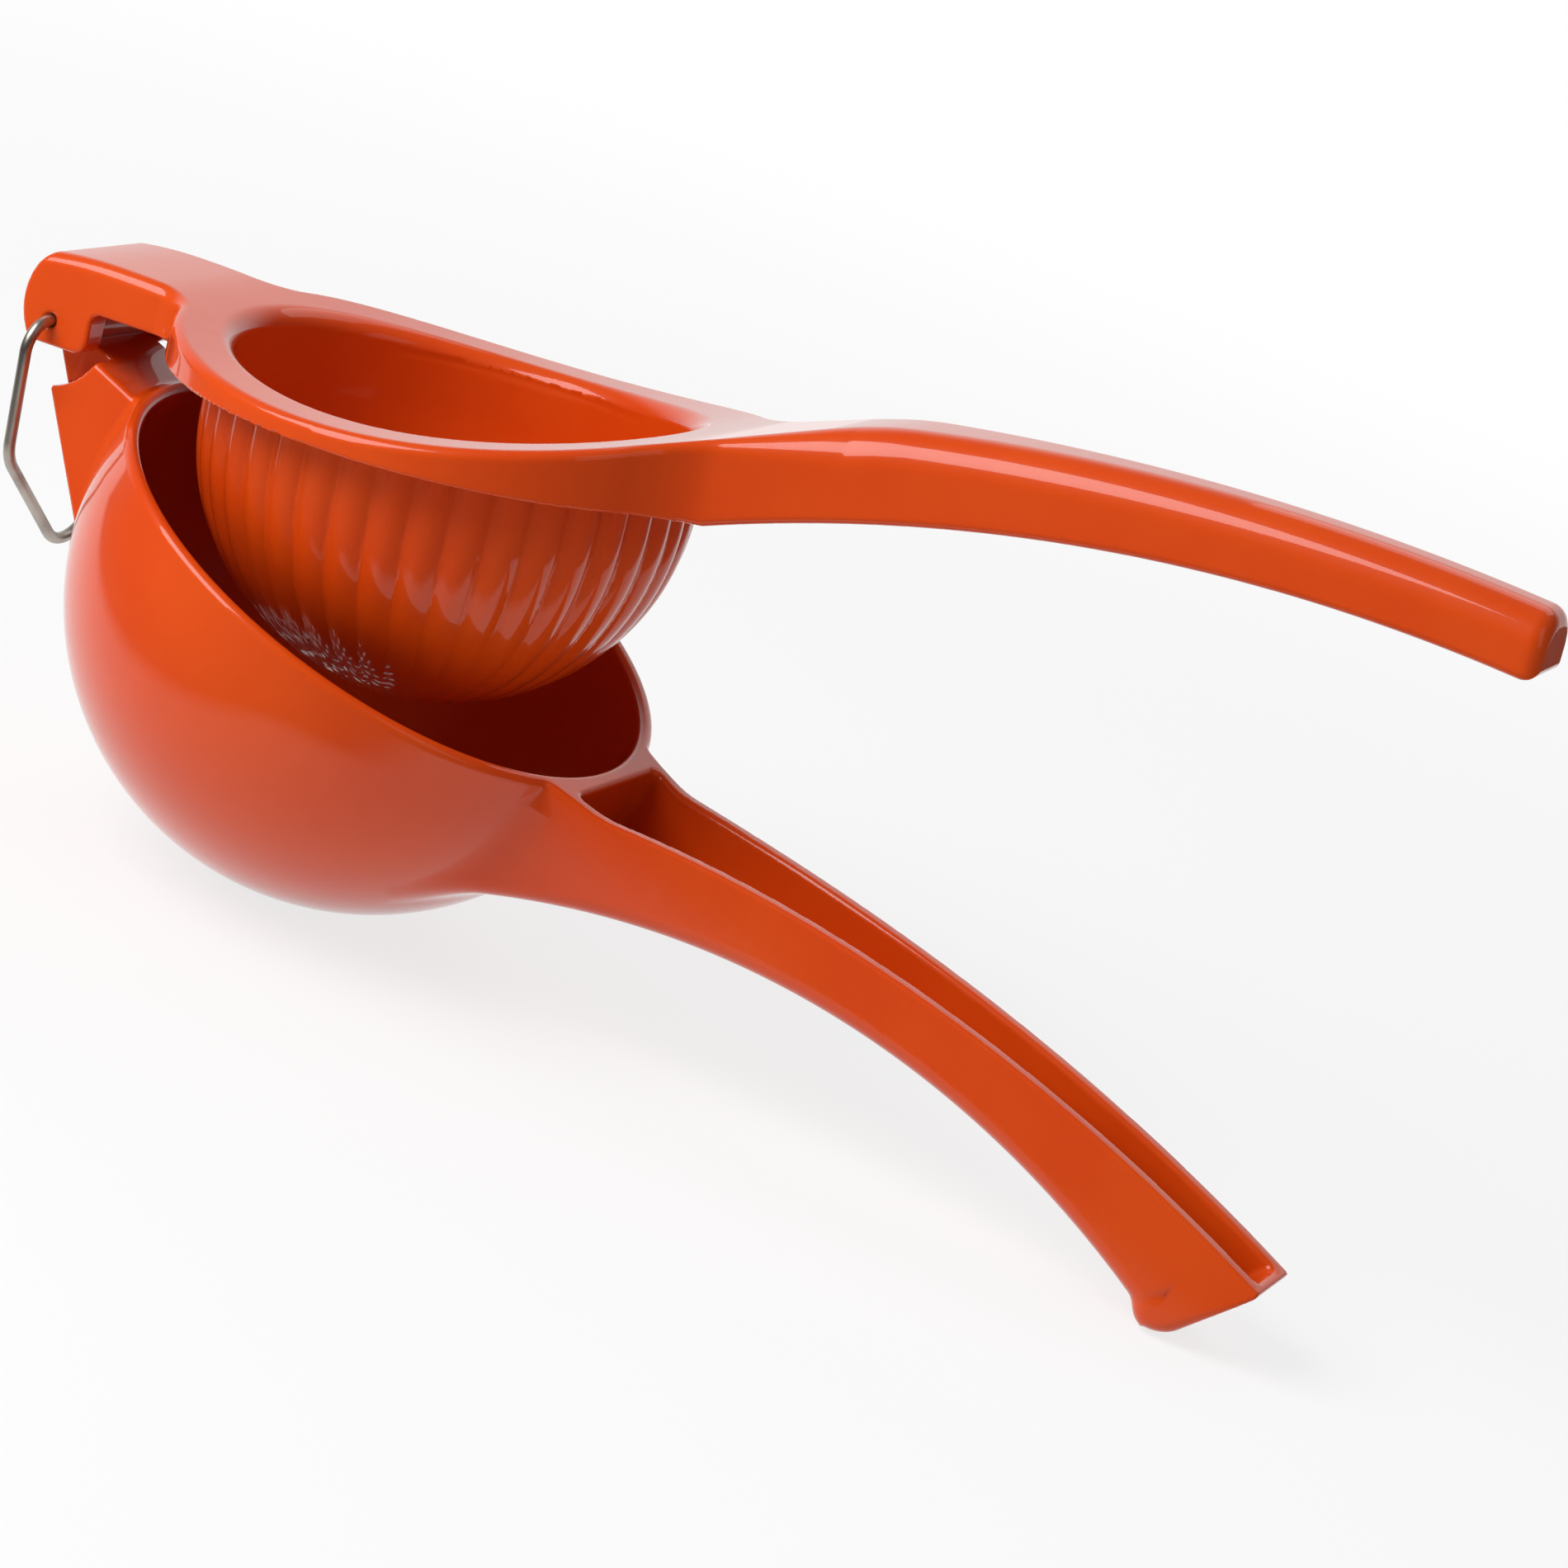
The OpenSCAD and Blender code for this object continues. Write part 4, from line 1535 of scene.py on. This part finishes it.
@dataclass(frozen=True)
class Studio:
    """Pale floor and white surroundings, soft lamps and the camera.

    In gloss the room shows a white sweep behind the squeezer and dims in front of it and above.
    """

    aim: tuple[float, float, float] = (-0.02, 0.0, 0.06)
    white: Colour = (1.0, 1.0, 1.0)
    surround: float = 0.27
    room: float = 0.03
    ceiling: float = 0.10
    sweep: float = 0.84
    sweep_way: tuple[float, float, float] = (-0.50, 0.866, 0.0)
    sweep_width: tuple[float, float] = (0.40, 0.80)
    sweep_top: tuple[float, float] = (0.42, 0.80)
    floor_radius: float = 0.80
    floor_sides: int = 96
    floor_colour: Colour = (0.86, 0.86, 0.86)
    floor_glow: float = 0.78
    floor_fade: tuple[float, float] = (0.22, 0.75)
    table_edges: tuple[tuple[tuple[float, float, float], float], ...] = (
        ((-0.515, 0.857, 0.0), 0.066),
        ((0.387, 0.922, 0.0), 0.109),
        ((-1.0, 0.0, 0.0), 0.165),
    )
    edge_blur: float = 0.012
    lens: float = 115.56
    sensor: float = 36.0
    clip: tuple[float, float] = (0.01, 50.0)
    camera_place: tuple[float, float, float] = (0.2519, -0.6461, 0.2633)
    camera_right: tuple[float, float, float] = (0.8535, 0.4140, 0.3174)
    camera_up: tuple[float, float, float] = (-0.4086, 0.1520, 0.9001)
    lamps: tuple[SoftBox, ...] = (
        SoftBox("key", -40.0, 40.0, 0.85, 0.6, 0.6, 7.8),
        SoftBox("fill", 75.0, 30.0, 1.3, 0.5, 1.0, 0.9),
        SoftBox("back", 175.0, 50.0, 1.3, 1.0, 0.6, 2.2),
    )

    def on_table(self, shader: Shader, place: Socket) -> Socket:
        """1 on the white table top, which ends in a corner in front of the squeezer, and 0 past it.

        Args:
            shader: Shader of the floor.
            place: Places on the floor.

        Returns:
            The share of white.
        """
        share = 1
        for way, reach in self.table_edges:
            along = shader.dot(place, way)
            share = share * shader.smooth(along, -reach - self.edge_blur, self.edge_blur - reach)
        return share

    def build_floor(self) -> None:
        """Lay the floor, which fades into the white surroundings and keeps the shadow."""
        disc = bmesh.new()
        bmesh.ops.create_circle(disc, cap_ends=True, segments=self.floor_sides, radius=self.floor_radius)
        mesh = bpy.data.meshes.new("floor")
        disc.to_mesh(mesh)
        disc.free()
        shader = Shader.of_material("studio_floor")
        place = shader.node("ShaderNodeTexCoord", output="Object")
        distance = shader.node("ShaderNodeVectorMath", {"operation": "LENGTH"}, {0: place}, "Value")
        glow = self.floor_glow + (1 - self.floor_glow) * shader.smooth(distance, *self.floor_fade)
        front = (1 - self.on_table(shader, place)) * shader.in_gloss()
        paper = shader.node("ShaderNodeBsdfDiffuse", None, {"Color": self.floor_colour})
        white = shader.node("ShaderNodeEmission", None, {"Color": self.white})
        dim = shader.node("ShaderNodeEmission", None, {"Strength": self.room})
        surface = shader.node("ShaderNodeMixShader", None, {0: shader.seen() * glow, 1: paper, 2: white})
        surface = shader.node("ShaderNodeMixShader", None, {0: front, 1: surface, 2: dim})
        shader.node("ShaderNodeOutputMaterial", None, {"Surface": surface})
        mesh.materials.append(shader.material)
        floor = stand("floor", mesh)

    def build_surroundings(self) -> None:
        """Make the world white where the camera sees it, a room in gloss, and soft as a light."""
        world = bpy.data.worlds.new("studio")
        world.use_nodes = True
        bpy.context.scene.world = world
        shader = Shader(world.node_tree)
        way = shader.node("ShaderNodeTexCoord", output="Generated")
        behind = shader.dot(way, self.sweep_way)
        height = shader.node("ShaderNodeSeparateXYZ", None, {0: way}, "Z")
        top = shader.smooth(height, *self.sweep_top)
        sweep = shader.smooth(behind, *self.sweep_width) * (1 - top)
        room = self.room + (self.ceiling - self.room) * top + (self.sweep - self.room) * sweep
        gloss = shader.in_gloss()
        shown = shader.seen() * (1 - gloss) + gloss * room
        strength = shown + self.surround * (1 - shader.seen())
        sockets = {"Color": self.white, "Strength": strength}
        white = shader.node("ShaderNodeBackground", None, sockets)
        shader.node("ShaderNodeOutputWorld", None, {"Surface": white})

    def build_camera(self) -> None:
        """Place the camera."""
        camera = bpy.data.cameras.new("camera")
        camera.lens = self.lens
        camera.sensor_width = self.sensor
        camera.clip_start, camera.clip_end = self.clip
        right, up = Vector(self.camera_right), Vector(self.camera_up)
        turn = Matrix((right, up, right.cross(up))).transposed().to_quaternion()
        holder = stand("camera", camera)
        holder.matrix_world = Matrix.Translation(self.camera_place) @ turn.to_matrix().to_4x4()
        bpy.context.scene.camera = holder

    def build(self) -> None:
        """Build the whole studio."""
        self.build_surroundings()
        self.build_floor()
        for lamp in self.lamps:
            lamp.build(Vector(self.aim))
        self.build_camera()
        bpy.context.scene.view_settings.view_transform = "Standard"
        log.info("studio: %d lamps", len(self.lamps))


def join_frame(piece: bpy.types.Object, node: Node, body: Body) -> None:
    """Let a piece stand for a node of the frame.

    Args:
        piece: The piece.
        node: The node that it stands for.
        body: The body that it rides on.
    """
    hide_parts(node.value)
    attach(piece, body.value)


def main() -> None:
    """Build the squeezer and its studio."""
    logging.basicConfig(level=logging.INFO, format="%(name)s: %(message)s")
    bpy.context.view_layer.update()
    Studio().build()
    join_frame(LowerArm().build("strainer_arm"), Node.BOWL, Body.LOWER_ARM)
    join_frame(UpperArm().build("press_arm"), Node.PRESS, Body.UPPER_ARM)
    join_frame(WireBail().build("hanging_wire"), Node.WIRE, Body.HANGING_WIRE)


if __name__ == "__main__":
    main()
